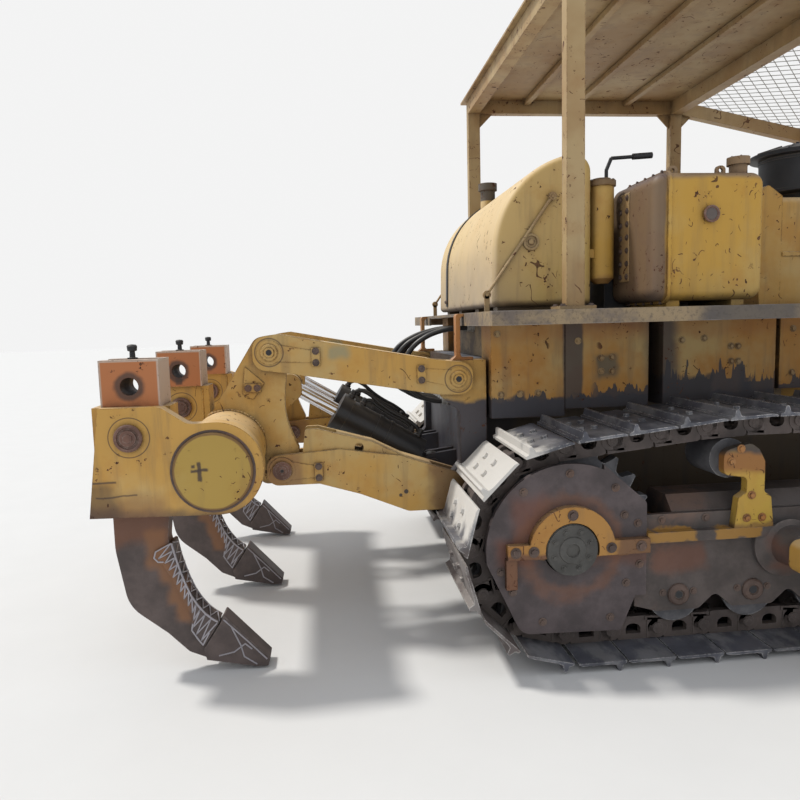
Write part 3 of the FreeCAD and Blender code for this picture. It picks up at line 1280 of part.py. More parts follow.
save("track_left", track())
save("track_right", mirrored(track()))
save("sprockets", *both(sprocket()))
save("final_drives", *both(final_drive()))
save("idlers", *both(idler()))
save("track_rollers", *[half for roller in bottom_rollers() for half in both(roller)])
save("carrier_rollers", *[half for roller in carrier_rollers() for half in both(roller)])
save("carrier_brackets", *[half for post in carrier_brackets() for half in both(post)])
save("track_frames", *both(track_frame()))
save("sprocket_guards", *both(sprocket_guard()))
save("axle_bearing_caps", *both(bearing_cap()))
save("transmission_case", rear_case())
save("main_frame", main_frame())
save("belly_guards", *belly_guard())
save("equalizer_bar", equalizer_bar())
save("engine_block", engine_block())
save("hood", hood())
save("engine_side_covers", *both(engine_side()))
save("instrument_cowl", cowl())
save("radiator_guard", radiator_guard())
save("radiator_core", radiator_core())
save("radiator_grille", radiator_grille())
save("fender_decks", *both(fender()))
save("fender_supports", *[half for block in fender_supports() for half in both(block)])
save("operator_floor", operator_floor())
save("fuel_tank", fuel_tank())
save("hydraulic_tank", hydraulic_tank())
save("filter_canister", filter_canister())
save("battery_box", battery_box())
save("battery_box_lid", battery_lid())
save("operator_seat", seat())
save("control_console", control_console())
save("control_levers", *control_levers())
save("canopy_posts", *canopy_posts())
save("canopy_roof", joined([canopy_beams(), canopy_roof()]))
save("visor_frame", canopy_visor())
save("visor_mesh", visor_mesh())
save("precleaner", precleaner())
save("exhaust_stack", exhaust())
save("headlights", *headlights())
save("blade", blade())
save("cutting_edge", cutting_edge())
save("push_arms", *both(joined([push_arm(), blade_brace()])))
save("lift_yokes", *lift_yokes())
save("lift_cylinder_barrels", *lift_barrels())
save("lift_cylinder_rods", *lift_rods())
save("ripper_bracket", ripper_bracket())
save("ripper_upper_links", *both(upper_link()))
save("ripper_lower_links", *both(lower_link()))
save("ripper_beam", ripper_beam())
save("ripper_shanks", *shanks())
save("ripper_tips", *shank_tips())
save("ripper_cylinder_barrels", *ripper_barrels())
save("ripper_cylinder_rods", *ripper_rods())
save("ripper_cylinder_pipes", *ripper_pipes())
save("rear_hoses", *rear_hoses())
save("deck_struts", *both(deck_struts()))
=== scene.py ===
import json
import math
from contextlib import contextmanager

import bmesh
import bpy
from mathutils import Matrix, Vector


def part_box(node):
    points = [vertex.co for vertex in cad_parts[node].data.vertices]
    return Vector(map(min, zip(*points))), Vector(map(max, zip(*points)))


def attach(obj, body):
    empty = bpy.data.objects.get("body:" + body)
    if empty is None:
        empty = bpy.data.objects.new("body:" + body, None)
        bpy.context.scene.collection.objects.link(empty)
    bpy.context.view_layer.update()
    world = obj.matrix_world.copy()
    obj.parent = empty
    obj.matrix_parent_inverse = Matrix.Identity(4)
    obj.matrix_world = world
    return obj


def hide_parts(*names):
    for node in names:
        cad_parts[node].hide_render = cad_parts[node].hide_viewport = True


bl_info = {
    "name": "Crawler bulldozer",
    "version": (1, 0, 0),
    "blender": (4, 5, 0),
    "location": "View3D > Sidebar > Bulldozer",
    "description": "Finishes and detail for a packed crawler bulldozer with a ripper",
    "category": "Add Mesh",
}

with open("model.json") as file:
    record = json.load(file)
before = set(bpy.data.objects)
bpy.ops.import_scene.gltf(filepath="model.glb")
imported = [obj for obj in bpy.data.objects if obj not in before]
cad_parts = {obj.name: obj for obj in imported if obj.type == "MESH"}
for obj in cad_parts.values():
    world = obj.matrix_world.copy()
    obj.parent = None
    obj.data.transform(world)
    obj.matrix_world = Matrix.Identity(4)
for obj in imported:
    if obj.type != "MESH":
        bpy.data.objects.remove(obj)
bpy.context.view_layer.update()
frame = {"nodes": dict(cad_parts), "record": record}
NODES = frame["nodes"]

# The part's source counts its lengths along X from the sprocket's axle, in millimetres
CENTRE_X = 1269.0
SIDES = (-1, 1)
UP = Vector((0, 0, 1))
AHEAD = Vector((1, 0, 0))
# Middles of the ripper's three shanks across the machine, and half a pocket's width
SHANKS = (-970, 0, 970)
POCKET_HALF = 106


def at(x, y, z):
    """Point of the part's source, in millimetres, as a point of the frame, in metres."""
    return Vector(((x - CENTRE_X) / 1000, y / 1000, z / 1000))


def outward(side):
    """Direction across the machine, away from its middle on that side."""
    return Vector((0, side, 0))


def around(count, start=0):
    """Angles of even steps round a circle."""
    return [math.radians(start + 360 * k / count) for k in range(count)]


# Sizes and colours that a user would change

def colour_setting(name, description, default):
    return bpy.props.FloatVectorProperty(name=name, description=description, subtype="COLOR", size=3,
                                         min=0, max=1, default=default)


class PaintSettings(bpy.types.PropertyGroup):
    ochre: colour_setting("Ochre", "Body paint where it is sound", (0.53, 0.30, 0.070))
    faded: colour_setting("Faded ochre", "Body paint bleached by the sun", (0.56, 0.385, 0.15))
    rust: colour_setting("Rust", "Rust where paint has gone", (0.13, 0.05, 0.025))
    # This colour darkens the paint's deep corners: grease, and painted shade
    grease: colour_setting("Grease", "Oil and dirt in corners", (0.035, 0.026, 0.02))
    chips: bpy.props.FloatProperty(name="Chips", description="Share of the paint that is chipped",
                                   subtype="FACTOR", min=0, max=1, default=0.35)


class StageSettings(bpy.types.PropertyGroup):
    floor: colour_setting("Floor", "Colour of the floor", (0.66, 0.66, 0.66))
    sun: bpy.props.FloatProperty(name="Sun", description="Strength of the key light", min=0, max=10, default=2.5)
    sky: bpy.props.FloatProperty(name="Sky", description="Strength of the light from all round", min=0, max=3,
                                 default=0.8)


# Node graphs

# Every finished material by its name
MATERIALS = {}


class Graph:
    """A material's node tree round one Principled shader, read on Object coordinates."""

    def __init__(self, name):
        self.material = MATERIALS[name] = bpy.data.materials.new(name)
        self.material.use_nodes = True
        self.tree = self.material.node_tree
        self.tree.nodes.clear()
        self.shader = self.add("ShaderNodeBsdfPrincipled")
        self.add("ShaderNodeOutputMaterial", {0: self.shader.outputs[0]})
        self.place = self.add("ShaderNodeTexCoord").outputs["Object"]
        self.normal = self.add("ShaderNodeNewGeometry").outputs["Normal"]

    def add(self, kind, inputs=None, **settings):
        """New node with its settings, and its inputs fed from other nodes' sockets or set to values."""
        node = self.tree.nodes.new(kind)
        for key, value in settings.items():
            setattr(node, key, value)
        for key, value in (inputs or {}).items():
            self.feed(node.inputs[key], value)
        return node

    def feed(self, socket, value):
        if isinstance(value, bpy.types.NodeSocket):
            self.tree.links.new(value, socket)
        elif hasattr(socket.default_value, "__len__") and len(value) == 3 and len(socket.default_value) == 4:
            socket.default_value = (*value, 1)
        else:
            socket.default_value = value

    def noise(self, scale, detail=4, roughness=0.55, stretch=None):
        place = self.place
        if stretch:
            place = self.add("ShaderNodeMapping", {"Scale": stretch, "Vector": place}).outputs[0]
        return self.add("ShaderNodeTexNoise", {"Vector": place, "Scale": scale, "Detail": detail,
                                               "Roughness": roughness}).outputs["Fac"]

    def combine(self, operation, a, b):
        return self.add("ShaderNodeMath", {0: a, 1: b}, operation=operation, use_clamp=True).outputs[0]

    def times(self, a, b):
        return self.combine("MULTIPLY", a, b)

    def plus(self, a, b):
        return self.combine("ADD", a, b)

    def most(self, a, b):
        return self.combine("MAXIMUM", a, b)

    def rest(self, a):
        """What is left up to 1."""
        return self.combine("SUBTRACT", 1.0, a)

    def weigh(self, a, share, b, other):
        """Sum of two values by their shares."""
        return self.plus(self.times(a, share), self.times(b, other))

    def step(self, value, low, high):
        """0 below low and 1 above high, smooth between them."""
        return self.add("ShaderNodeMapRange", {"Value": value, "From Min": low, "From Max": high},
                        interpolation_type="SMOOTHSTEP").outputs[0]

    def mix(self, factor, a, b):
        return self.add("ShaderNodeMix", {0: factor, 6: a, 7: b}, data_type="RGBA").outputs[2]

    def cover(self, colour, tint, mask, strength):
        """A colour with a tint laid over it where a mask is."""
        return self.mix(self.times(mask, strength), colour, tint)

    def blend_number(self, factor, a, b):
        return self.add("ShaderNodeMix", {0: factor, 2: a, 3: b}, data_type="FLOAT").outputs[0]

    def edges(self, radius):
        """1 on worn edges and 0 on flats."""
        bevel = self.add("ShaderNodeBevel", {"Radius": radius}, samples=4)
        dot = self.add("ShaderNodeVectorMath", {0: bevel.outputs[0], 1: self.normal}, operation="DOT_PRODUCT")
        return self.step(self.rest(dot.outputs["Value"]), 0.02, 0.18)

    def corners(self, distance):
        """1 in deep corners and 0 in the open."""
        return self.rest(self.add("ShaderNodeAmbientOcclusion", {"Distance": distance}, samples=4).outputs["AO"])

    def split(self, vector):
        return self.add("ShaderNodeSeparateXYZ", {0: vector}).outputs

    def facing(self, axis, low, high):
        """0 to 1 as the surface turns towards an axis."""
        return self.step(self.split(self.normal)[axis], low, high)

    def upward(self, low=0.4, high=0.95):
        return self.facing(2, low, high)

    def winding(self, scale, reach):
        """Thin winding lines, where a noise passes through its middle value."""
        return self.add("ShaderNodeMath", {0: self.noise(scale, 1.5, 0.5), 1: 0.5, 2: reach},
                        operation="COMPARE").outputs[0]

    def strokes(self, scale, reach, limit):
        """Short scratches: winding lines where a second noise is above a limit."""
        return self.times(self.winding(scale, reach),
                          self.step(self.noise(scale * 1.9, 2, 0.5), limit, limit + 0.02))

    def ragged(self, amount, scale):
        """Object coordinates pushed about by a noise, for uneven outlines."""
        if not amount:
            return self.place
        noise = self.add("ShaderNodeTexNoise", {"Vector": self.place, "Scale": scale, "Detail": 4})
        centred = self.add("ShaderNodeVectorMath", {0: noise.outputs["Color"], 1: (0.5,) * 3},
                           operation="SUBTRACT")
        return self.add("ShaderNodeVectorMath", {0: centred.outputs[0], 1: (amount,) * 3, 2: self.place},
                        operation="MULTIPLY_ADD").outputs[0]

    def within(self, limits, soft, uneven=0.0, scale=12):
        """1 between (low, high) along X, Y and Z, in the source's millimetres; None leaves a side open."""
        spot = self.split(self.ragged(uneven, scale))
        inside = None
        for axis, (low, high) in enumerate(limits):
            for limit, above in ((low, True), (high, False)):
                if limit is None:
                    continue
                edge = (limit - (CENTRE_X if axis == 0 else 0)) / 1000
                part = self.step(spot[axis], edge - soft, edge + soft)
                part = part if above else self.rest(part)
                inside = part if inside is None else self.times(inside, part)
        return inside

    def round_spot(self, x, z, inner, outer, soft=0.004, uneven=0.0):
        """1 between two radii round a line along Y through a point of the source, in millimetres."""
        flat = self.add("ShaderNodeVectorMath", {0: self.ragged(uneven, 14), 1: (1, 0, 1)},
                        operation="MULTIPLY")
        away = self.add("ShaderNodeVectorMath", {0: flat.outputs[0], 1: at(x, 0, z)},
                        operation="DISTANCE").outputs["Value"]
        near = self.rest(self.step(away, outer / 1000 - soft, outer / 1000 + soft))
        return self.times(near, self.step(away, inner / 1000 - soft, inner / 1000 + soft)) if inner else near

    def fringe(self, level, reach, x_low, x_high):
        """1 below a level, in millimetres, with pointed blades of dirt that reach up from it."""
        blades = self.step(self.noise(26, 3, 0.6, stretch=(1, 1, 0.12)), 0.40, 0.72)
        top = self.add("ShaderNodeMath", {0: blades, 1: reach / 1000, 2: level / 1000}, operation="MULTIPLY_ADD")
        clean = self.add("ShaderNodeMath", {0: self.split(self.place)[2], 1: top.outputs[0]},
                         operation="GREATER_THAN")
        return self.times(self.rest(clean.outputs[0]), self.within(((x_low, x_high),), 0.03))

    def under_stains_and_painted_light(self, colour, name):
        """A colour under the stains, painted shade and painted sunlight of the finish with that name."""
        for tint, strength, *places in STAINS_AND_PAINTED_LIGHT.get(name, ()):
            for kind, *place in places:
                colour = self.cover(colour, tint, getattr(self, kind)(*place), strength)
        return colour

    def set(self, **sockets):
        for key, value in sockets.items():
            self.feed(self.shader.inputs[key.replace("_", " ")], value)

    def bump(self, height, strength, distance):
        node = self.add("ShaderNodeBump", {"Height": height, "Strength": strength, "Distance": distance})
        self.feed(self.shader.inputs["Normal"], node.outputs[0])


def shade(colour, factor):
    return tuple(factor * value for value in colour)


def patch(soft, uneven=0.0, scale=12, x0=None, x1=None, y0=None, y1=None, z0=None, z1=None):
    """Place of a stain, of painted shade or of painted sunlight: a box in the source's millimetres, open on each side
    that has no limit.
    """
    return "within", ((x0, x1), (y0, y1), (z0, z1)), soft, uneven, scale


def on_pockets(x0, x1, z0, soft):
    """The same patch on the pocket of each shank."""
    return [patch(soft, x0=x0, x1=x1, y0=y - POCKET_HALF, y1=y + POCKET_HALF, z0=z0) for y in SHANKS]


GREASE = (0.030, 0.030, 0.040)
OLD_IRON = (0.055, 0.036, 0.030)
POCKET_ORANGE = (0.42, 0.145, 0.055)
RIM_PALE = (0.50, 0.43, 0.36)
YELLOW_LEFT = (0.36, 0.185, 0.03)
# Stains, painted shade and painted sunlight by finish, laid over the sound paint or the steel in this order: tint,
# strength, places
STAINS_AND_PAINTED_LIGHT = {
    "beam_paint": (
        (GREASE, 0.65, patch(0.03, 0.16, 5, z1=742)),
        ((0.17, 0.075, 0.045), 0.5, patch(0.04, 0.14, 6, x1=-1660, z0=690, z1=800)),
        (OLD_IRON, 0.6, patch(0.03, 0.12, 5, x1=-1850, z1=860)),
        (POCKET_ORANGE, 0.92, *on_pockets(-1910, -1668, 1166, 0.003)),
        (OLD_IRON, 0.85, ("round_spot", -1790, 1250, 0, 58, 0.010, 0.03)),
        (OLD_IRON, 0.8, patch(0.006, 0.02, 14, x0=-1806, x1=-1774, y0=-130, y1=130, z0=1178, z1=1250)),
        (RIM_PALE, 0.75, *on_pockets(-1910, -1668, 1349, 0.002), *on_pockets(-1912, -1898, 1166, 0.003),
         *on_pockets(-1679, -1665, 1166, 0.003)),
        (OLD_IRON, 0.8, ("round_spot", -1790, 1050, 78, 82, 0.0015),
         patch(0.003, 0.025, 9, x0=-1945, x1=-1850, z0=868, z1=876),
         patch(0.003, 0.03, 7, x0=-1935, x1=-1770, z0=812, z1=818))),
    "support_paint": (
        ((0.36, 0.15, 0.045), 0.45, patch(0.03, 0.08, 5, z0=1380)),
        ((0.055, 0.050, 0.058), 0.93, patch(0.012, 0.16, 9, z1=1098)),
        ((0.052, 0.050, 0.060), 0.93, ("fringe", 1085, 50, None, 300), ("fringe", 1110, 60, 300, 600),
         ("fringe", 1160, 110, 620, 1120), ("fringe", 1140, 100, 1060, 1250), ("fringe", 1120, 80, 1240, None)),
        ((0.050, 0.045, 0.050), 0.85, patch(0.02, 0.14, 8, x0=640, x1=900, z1=1172),
         patch(0.008, 0.03, 6, x0=140, x1=240, z1=1500),
         patch(0.04, 0.10, 5, x0=560, x1=720, z0=1100, z1=1480)),
        ((0.20, 0.075, 0.035), 0.55, patch(0.03, 0.10, 6, x0=240, x1=560, z0=1420)),
        ((0.10, 0.10, 0.075), 0.8, patch(0.02, 0.06, 10, x0=310, x1=420, z0=1180, z1=1300))),
    "bracket_paint": (
        # Painted shade with grease: blue-grey and dark below 1095 mm, and dark on the inner part within 558 mm of the
        # middle
        ((0.040, 0.046, 0.070), 0.93, patch(0.012, 0.07, 9, z1=1095)),
        (GREASE, 0.9, patch(0.006, y0=-558, y1=558))),
    "link_paint": (
        ((0.19, 0.25, 0.19), 0.55, patch(0.02, 0.07, 9, x0=-985, x1=-895, z0=1315, z1=1382)),
        ((0.20, 0.085, 0.045), 0.55, patch(0.02, 0.06, 7, x0=-1300, x1=-1130, z1=872)),
        ((0.12, 0.06, 0.035), 0.7, patch(0.04, 0.15, 6, x0=-520, z1=800)),
        (GREASE, 0.9, ("round_spot", -638, 668, 0, 11, 0.002), ("round_spot", -665, 652, 0, 8, 0.002)),
        (OLD_IRON, 0.7, ("round_spot", -1261, 1356, 62, 68, 0.002), ("round_spot", -374, 1204, 62, 68, 0.002))),
    "tank_paint": (
        ((0.17, 0.10, 0.055), 0.6, patch(0.02, 0.06, 7, z1=1565)),
        ((0.045, 0.046, 0.052), 0.9, patch(0.004, x0=-45, x1=85, y0=260, y1=400, z0=2200)),
        ((0.23, 0.19, 0.165), 0.55, patch(0.16, 0.30, 4, x1=-150, z1=1790))),
    "oil_tank_paint": (
        ((0.10, 0.085, 0.11), 0.6, patch(0.015, 0.03, 7, z0=2062)),
        # Painted shade: the tank's rear end, behind X 470, darker
        ((0.085, 0.065, 0.075), 0.75, patch(0.010, 0.03, 7, x1=470))),
    "canister_paint": (
        ((0.105, 0.070, 0.060), 0.75, patch(0.004, 0.02, 9, z0=2092)),
        ((0.24, 0.105, 0.045), 0.6, patch(0.015, 0.05, 12, z1=1672))),
    # The blade's front is scoured by soil, most of all low down
    "blade_paint": (
        ((0.215, 0.175, 0.145), 0.75, patch(0.06, 0.50, 2.5, x0=4270, z1=800)),
        ((0.36, 0.345, 0.33), 0.75, patch(0.05, 0.28, 4, x0=4270, z1=430)),
        ((0.16, 0.105, 0.070), 0.7, patch(0.04, 0.22, 5, x1=4270, z1=330))),
    "hull_paint": (
        ((0.045, 0.038, 0.034), 0.9, patch(0.05, 0.20, 4, z1=1060)),
        ((0.050, 0.045, 0.050), 0.75, patch(0.04, 0.15, 4, x1=-60))),
    "carrier_paint": (
        ((0.28, 0.11, 0.035), 0.85, patch(0.02, 0.05, 10, z0=800, z1=905)),
        ((0.055, 0.050, 0.050), 0.93, patch(0.015, 0.05, 9, z0=885)),
        ((0.16, 0.075, 0.035), 0.7, patch(0.01, 0.05, 12, z1=575))),
    "cap_paint": (
        ((0.12, 0.055, 0.04), 0.8, patch(0.01, 0.05, 12, x1=-110, z1=505)),
        ((0.12, 0.06, 0.04), 0.75, patch(0.02, 0.08, 12, x0=190))),
    "mustard_paint": (
        (OLD_IRON, 0.9, patch(0.004, 0.03, 16, x0=-1532, x1=-1516, z0=862, z1=942),
         patch(0.004, 0.03, 16, x0=-1560, x1=-1490, z0=903, z1=916),
         patch(0.004, 0.02, 20, x0=-1552, x1=-1538, z0=918, z1=934)),
        ((0.13, 0.060, 0.030), 0.75, ("round_spot", -1470, 900, 150, 166, 0.003, 0.01))),
    "frame_steel": (
        (YELLOW_LEFT, 0.85, *[patch(0.008, 0.07, 16, x0=x0, x1=x1, z0=505, z1=560)
                              for x0, x1 in ((260, 560), (640, 860), (1040, 1300))]),
        ((0.17, 0.065, 0.035), 0.6, patch(0.03, 0.16, 6, x0=380, x1=620, z0=380, z1=470),
         patch(0.03, 0.16, 6, x0=900, x1=1200, z0=350, z1=500))),
    "guard_steel": (
        ((0.17, 0.060, 0.035), 0.6, patch(0.03, 0.14, 6, x0=-320, x1=-160, z0=430, z1=560),
         patch(0.04, 0.16, 5, x0=-240, x1=-120, z0=560, z1=760)),
        ((0.15, 0.060, 0.035), 0.6, patch(0.03, 0.10, 8, x0=60, x1=380, z0=430, z1=520)),
        ((0.30, 0.14, 0.035), 0.55, patch(0.004, 0.05, 18, x0=-250, x1=380, z0=468, z1=486)),
        ((0.22, 0.085, 0.035), 0.42, ("round_spot", 0, 509, 180, 232, 0.03, 0.12))),
    "shank_steel": (
        ((0.17, 0.068, 0.032), 0.75, patch(0.04, 0.18, 6, x0=-1940, x1=-1700, z0=560, z1=740)),
        ((0.24, 0.105, 0.040), 0.75, patch(0.02, 0.08, 9, x0=-1782, x1=-1690, z0=480, z1=640),
         patch(0.02, 0.06, 9, x0=-1735, x1=-1665, z0=400, z1=500),
         patch(0.02, 0.06, 9, x0=-1700, x1=-1625, z0=310, z1=410),
         patch(0.02, 0.06, 9, x0=-1675, x1=-1605, z0=230, z1=320))),
    "shoe_steel": (
        # Painted sunlight: near white on the shoes at the rear above 600 mm, where the sun falls
        ((0.74, 0.71, 0.66), 0.74, patch(0.05, 0.30, 9, x1=-150, z0=600)),
        ((0.115, 0.085, 0.070), 0.7, patch(0.06, 0.20, 6, x1=-200, z1=560))),
}


def old_paint(name, sound, faded, chips=0.35, dirt=0.6, wear=0.6, dust=0.5, rear_sunlight=0.0):
    """Sun-bleached paint with scratches, chips down to rust, streaks, stains, and grease with painted shade in the
    corners; with rear_sunlight, painted sunlight on the faces that turn to the rear.
    """
    settings = bpy.context.scene.dozer_paint
    rust = tuple(settings.rust)
    graph = Graph(name)
    patches = graph.noise(1.3, 5, 0.6)
    blotches = graph.noise(6, 7, 0.62)
    grain = graph.noise(48, 5, 0.7)
    streaks = graph.noise(8, 5, 0.6, stretch=(1.8, 1.8, 0.2))
    colour = graph.mix(graph.step(patches, 0.43, 0.60), sound, faded)
    warm = tuple(0.85 * value * share for value, share in zip(sound, (1.0, 0.80, 0.65)))
    colour = graph.cover(colour, warm, graph.step(blotches, 0.50, 0.68), 0.38)
    # Grime that has run down
    colour = graph.cover(colour, (0.17, 0.115, 0.07), graph.step(streaks, 0.50, 0.70), 0.55 * dirt)
    # Bleached and dusty on faces that turn up, where the sun and the dust reach
    dust_and_sunlight = graph.times(graph.upward(0.25, 0.8), graph.step(blotches, 0.22, 0.55))
    # Painted sunlight: paler on the faces that turn to the rear, by rear_sunlight
    if rear_sunlight:
        dust_and_sunlight = graph.most(dust_and_sunlight, graph.times(graph.rest(graph.facing(0, -0.75, -0.15)), rear_sunlight))
    colour = graph.cover(colour, tuple(min(1, value * 0.92 + 0.20) for value in faded), dust_and_sunlight, dust)
    colour = graph.under_stains_and_painted_light(colour, name)
    # Chips and scratches down to rust and bare dark steel
    worn = graph.times(graph.edges(0.010), graph.step(graph.weigh(grain, 0.5, blotches, 0.5), 0.46, 0.53))
    specks = graph.times(graph.step(graph.noise(34, 3, 0.6), 0.655 - 0.04 * chips, 0.672 - 0.04 * chips),
                         graph.step(blotches, 0.50, 0.58))
    sparse = graph.step(graph.noise(2.3, 2, 0.5), 0.56 - 0.16 * chips, 0.58 - 0.16 * chips)
    scratches = graph.times(sparse, graph.most(graph.strokes(5.2, 0.0045, 0.60 - 0.06 * chips),
                                               graph.strokes(14, 0.009, 0.62 - 0.06 * chips)))
    bare = graph.most(graph.times(worn, wear), graph.most(specks, graph.times(scratches, 0.9)))
    colour = graph.mix(bare, colour, graph.mix(graph.step(grain, 0.42, 0.6), rust, shade(rust, 0.4)))
    # Grease and dirt in the corners, and painted shade there: darker where an occlusion mask finds deep corners
    soil = graph.times(graph.corners(0.10), graph.plus(graph.step(blotches, 0.3, 0.6), 0.35))
    colour = graph.cover(colour, tuple(settings.grease), graph.step(soil, 0.12, 0.6), dirt)
    graph.set(Base_Color=colour, Metallic=0.0, Specular_IOR_Level=0.4,
              Roughness=graph.blend_number(bare, graph.blend_number(blotches, 0.42, 0.72), 0.85))
    graph.bump(graph.blend_number(bare, graph.plus(0.5, graph.times(blotches, 0.5)), graph.times(grain, 0.6)),
               0.4, 0.003)


def worn_steel(name, dark, mud, bright, polish=0.7, mud_amount=0.6, orange=0.0, shine=0.0):
    """Dark steel with dried mud in its corners, rubbed bright edges and, with shine, rubbed faces."""
    graph = Graph(name)
    blotches = graph.noise(6, 8, 0.65)
    grain = graph.noise(48, 6, 0.7)
    colour = graph.mix(graph.step(blotches, 0.35, 0.7), dark, shade(dark, 1.9))
    if orange:
        rust = graph.times(graph.step(graph.noise(1.7, 5, 0.6), 0.5, 0.64), graph.step(blotches, 0.4, 0.6))
        colour = graph.cover(colour, (0.40, 0.14, 0.035), rust, orange)
    soil = graph.step(graph.times(graph.corners(0.08), graph.plus(blotches, 0.35)), 0.10, 0.5)
    soil = graph.most(soil, graph.times(graph.upward(), graph.step(blotches, 0.5, 0.65)))
    soil = graph.times(soil, mud_amount)
    colour = graph.mix(soil, colour, graph.mix(grain, mud, shade(mud, 0.5)))
    colour = graph.under_stains_and_painted_light(colour, name)
    edge = graph.times(graph.edges(0.008), graph.step(graph.plus(grain, graph.times(blotches, 0.5)), 0.66, 0.86))
    edge = graph.times(edge, polish)
    if shine:
        rubbed = graph.step(graph.noise(9, 5, 0.6, stretch=(1, 0.5, 1)), 0.44, 0.62)
        edge = graph.most(edge, graph.times(rubbed, shine))
    graph.set(Base_Color=graph.mix(edge, colour, bright), Metallic=graph.times(edge, 0.8),
              Roughness=graph.blend_number(edge, graph.blend_number(soil, 0.6, 0.95), 0.35))
    graph.bump(graph.weigh(blotches, 0.6, grain, 0.4), 0.5, 0.004)


def plain_finish(name, colour, roughness, metallic=0.0, speckle=0.35, dust=0.3, wear=0.0):
    """One colour broken by fine speckle, dust on top and rubbed edges."""
    graph = Graph(name)
    blotches = graph.noise(9, 7, 0.6)
    grain = graph.noise(70, 5, 0.7)
    tone = graph.cover(colour, shade(colour, 0.55), graph.step(blotches, 0.35, 0.7), speckle)
    film = graph.times(graph.most(graph.upward(), graph.step(graph.corners(0.05), 0.2, 0.7)),
                       graph.step(blotches, 0.3, 0.6))
    tone = graph.cover(tone, (0.33, 0.28, 0.22), film, dust)
    if wear:
        edge = graph.times(graph.edges(0.006), graph.step(blotches, 0.35, 0.6))
        tone = graph.cover(tone, (0.30, 0.24, 0.19), edge, wear)
    graph.set(Base_Color=tone, Metallic=metallic,
              Roughness=graph.blend_number(blotches, roughness * 0.8, min(1.0, roughness * 1.3)))
    graph.bump(graph.weigh(blotches, 0.5, grain, 0.5), 0.2, 0.002)


def trodden_deck(name):
    """Blue-grey steel, scuffed to bare metal, with dust and dried mud, and painted shade darkening its deep corners."""
    graph = Graph(name)
    blotches = graph.noise(5, 8, 0.65)
    grain = graph.noise(55, 6, 0.7)
    colour = graph.mix(graph.step(blotches, 0.35, 0.7), (0.10, 0.11, 0.14), (0.23, 0.23, 0.25))
    colour = graph.cover(colour, (0.30, 0.24, 0.17), graph.step(grain, 0.5, 0.65), 0.4)
    # The folded edge shows old ochre paint under the dirt
    paint = graph.mix(graph.step(blotches, 0.38, 0.60), (0.30, 0.22, 0.125), (0.145, 0.115, 0.095))
    paint = graph.cover(paint, (0.075, 0.068, 0.066), graph.within(((560, 1010),), 0.08, 0.3, 4), 0.8)
    paint = graph.cover(paint, (0.07, 0.055, 0.045), graph.step(grain, 0.50, 0.62), 0.5)
    colour = graph.mix(graph.rest(graph.upward(0.3, 0.6)), colour, paint)
    edge = graph.times(graph.edges(0.008), graph.step(blotches, 0.4, 0.6))
    colour = graph.cover(colour, (0.36, 0.33, 0.30), edge, 0.6)
    # Dried mud and painted shade: darker brown where an occlusion mask finds deep corners
    colour = graph.cover(colour, (0.09, 0.065, 0.045), graph.step(graph.corners(0.1), 0.2, 0.7), 0.7)
    graph.set(Base_Color=colour, Roughness=graph.blend_number(blotches, 0.55, 0.85))
    graph.bump(graph.weigh(blotches, 0.5, grain, 0.5), 0.4, 0.003)


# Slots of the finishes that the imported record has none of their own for
SLOT_OF = {"mustard_paint": "faded_ochre_paint", "link_paint": "faded_ochre_paint",
           "track_link_steel": "worn_track_steel", "shoe_steel": "worn_track_steel",
           "hub_paint": "worn_track_steel", "weld_metal": "shank_steel", "rusty_pin": "rusty_plate",
           "oil_glass": "lamp", "dial_white": "lamp"}
# Nodes whose finish isn't their slot's
FINISH_OF = {"ripper_beam": "beam_paint", "fender_supports": "support_paint", "ripper_bracket": "bracket_paint",
             "ripper_upper_links": "link_paint", "ripper_lower_links": "link_paint", "fuel_tank": "tank_paint",
             "hydraulic_tank": "oil_tank_paint", "filter_canister": "canister_paint", "main_frame": "hull_paint",
             "transmission_case": "hull_paint", "carrier_brackets": "carrier_paint", "track_frames": "frame_steel",
             "sprocket_guards": "guard_steel", "axle_bearing_caps": "cap_paint", "ripper_shanks": "shank_steel",
             "final_drives": "hub_paint", "equalizer_bar": "hull_paint", "blade": "blade_paint",
             "cutting_edge": "edge_steel"}
# Steel: dark tone, mud, bright tone, polish, amount of mud, orange rust, shine
STEELS = {
    "edge_steel": ((0.13, 0.125, 0.12), (0.17, 0.13, 0.10), (0.66, 0.64, 0.61), 0.8, 0.4, 0.1, 0.30),
    "frame_steel": ((0.060, 0.048, 0.044), (0.105, 0.098, 0.096), (0.28, 0.24, 0.21), 0.25, 0.8, 0.2),
    "guard_steel": ((0.058, 0.045, 0.046), (0.085, 0.072, 0.070), (0.25, 0.20, 0.18), 0.25, 0.5),
    "shank_steel": ((0.062, 0.046, 0.042), (0.085, 0.065, 0.055), (0.30, 0.27, 0.25), 0.4, 0.4),
    "worn_track_steel": ((0.066, 0.066, 0.074), (0.120, 0.108, 0.102), (0.60, 0.58, 0.56), 0.6, 0.5, 0.0, 0.10),
    "shoe_steel": ((0.058, 0.060, 0.074), (0.115, 0.100, 0.095), (0.74, 0.72, 0.69), 0.75, 0.35, 0.0, 0.16),
    "rusty_plate": ((0.070, 0.045, 0.036), (0.110, 0.080, 0.065), (0.30, 0.24, 0.20), 0.35, 0.55, 0.2),
    "track_link_steel": ((0.062, 0.048, 0.044), (0.105, 0.085, 0.070), (0.30, 0.27, 0.25), 0.25, 0.7),
    "rusty_pin": ((0.105, 0.050, 0.034), (0.16, 0.10, 0.07), (0.42, 0.36, 0.32), 0.5, 0.4, 0.3),
    "engine_paint": ((0.10, 0.085, 0.06), (0.07, 0.05, 0.035), (0.3, 0.27, 0.24), 0.2, 0.6),
    "hub_paint": ((0.050, 0.048, 0.044), (0.085, 0.075, 0.062), (0.22, 0.21, 0.19), 0.3, 0.5, 0.15),
}
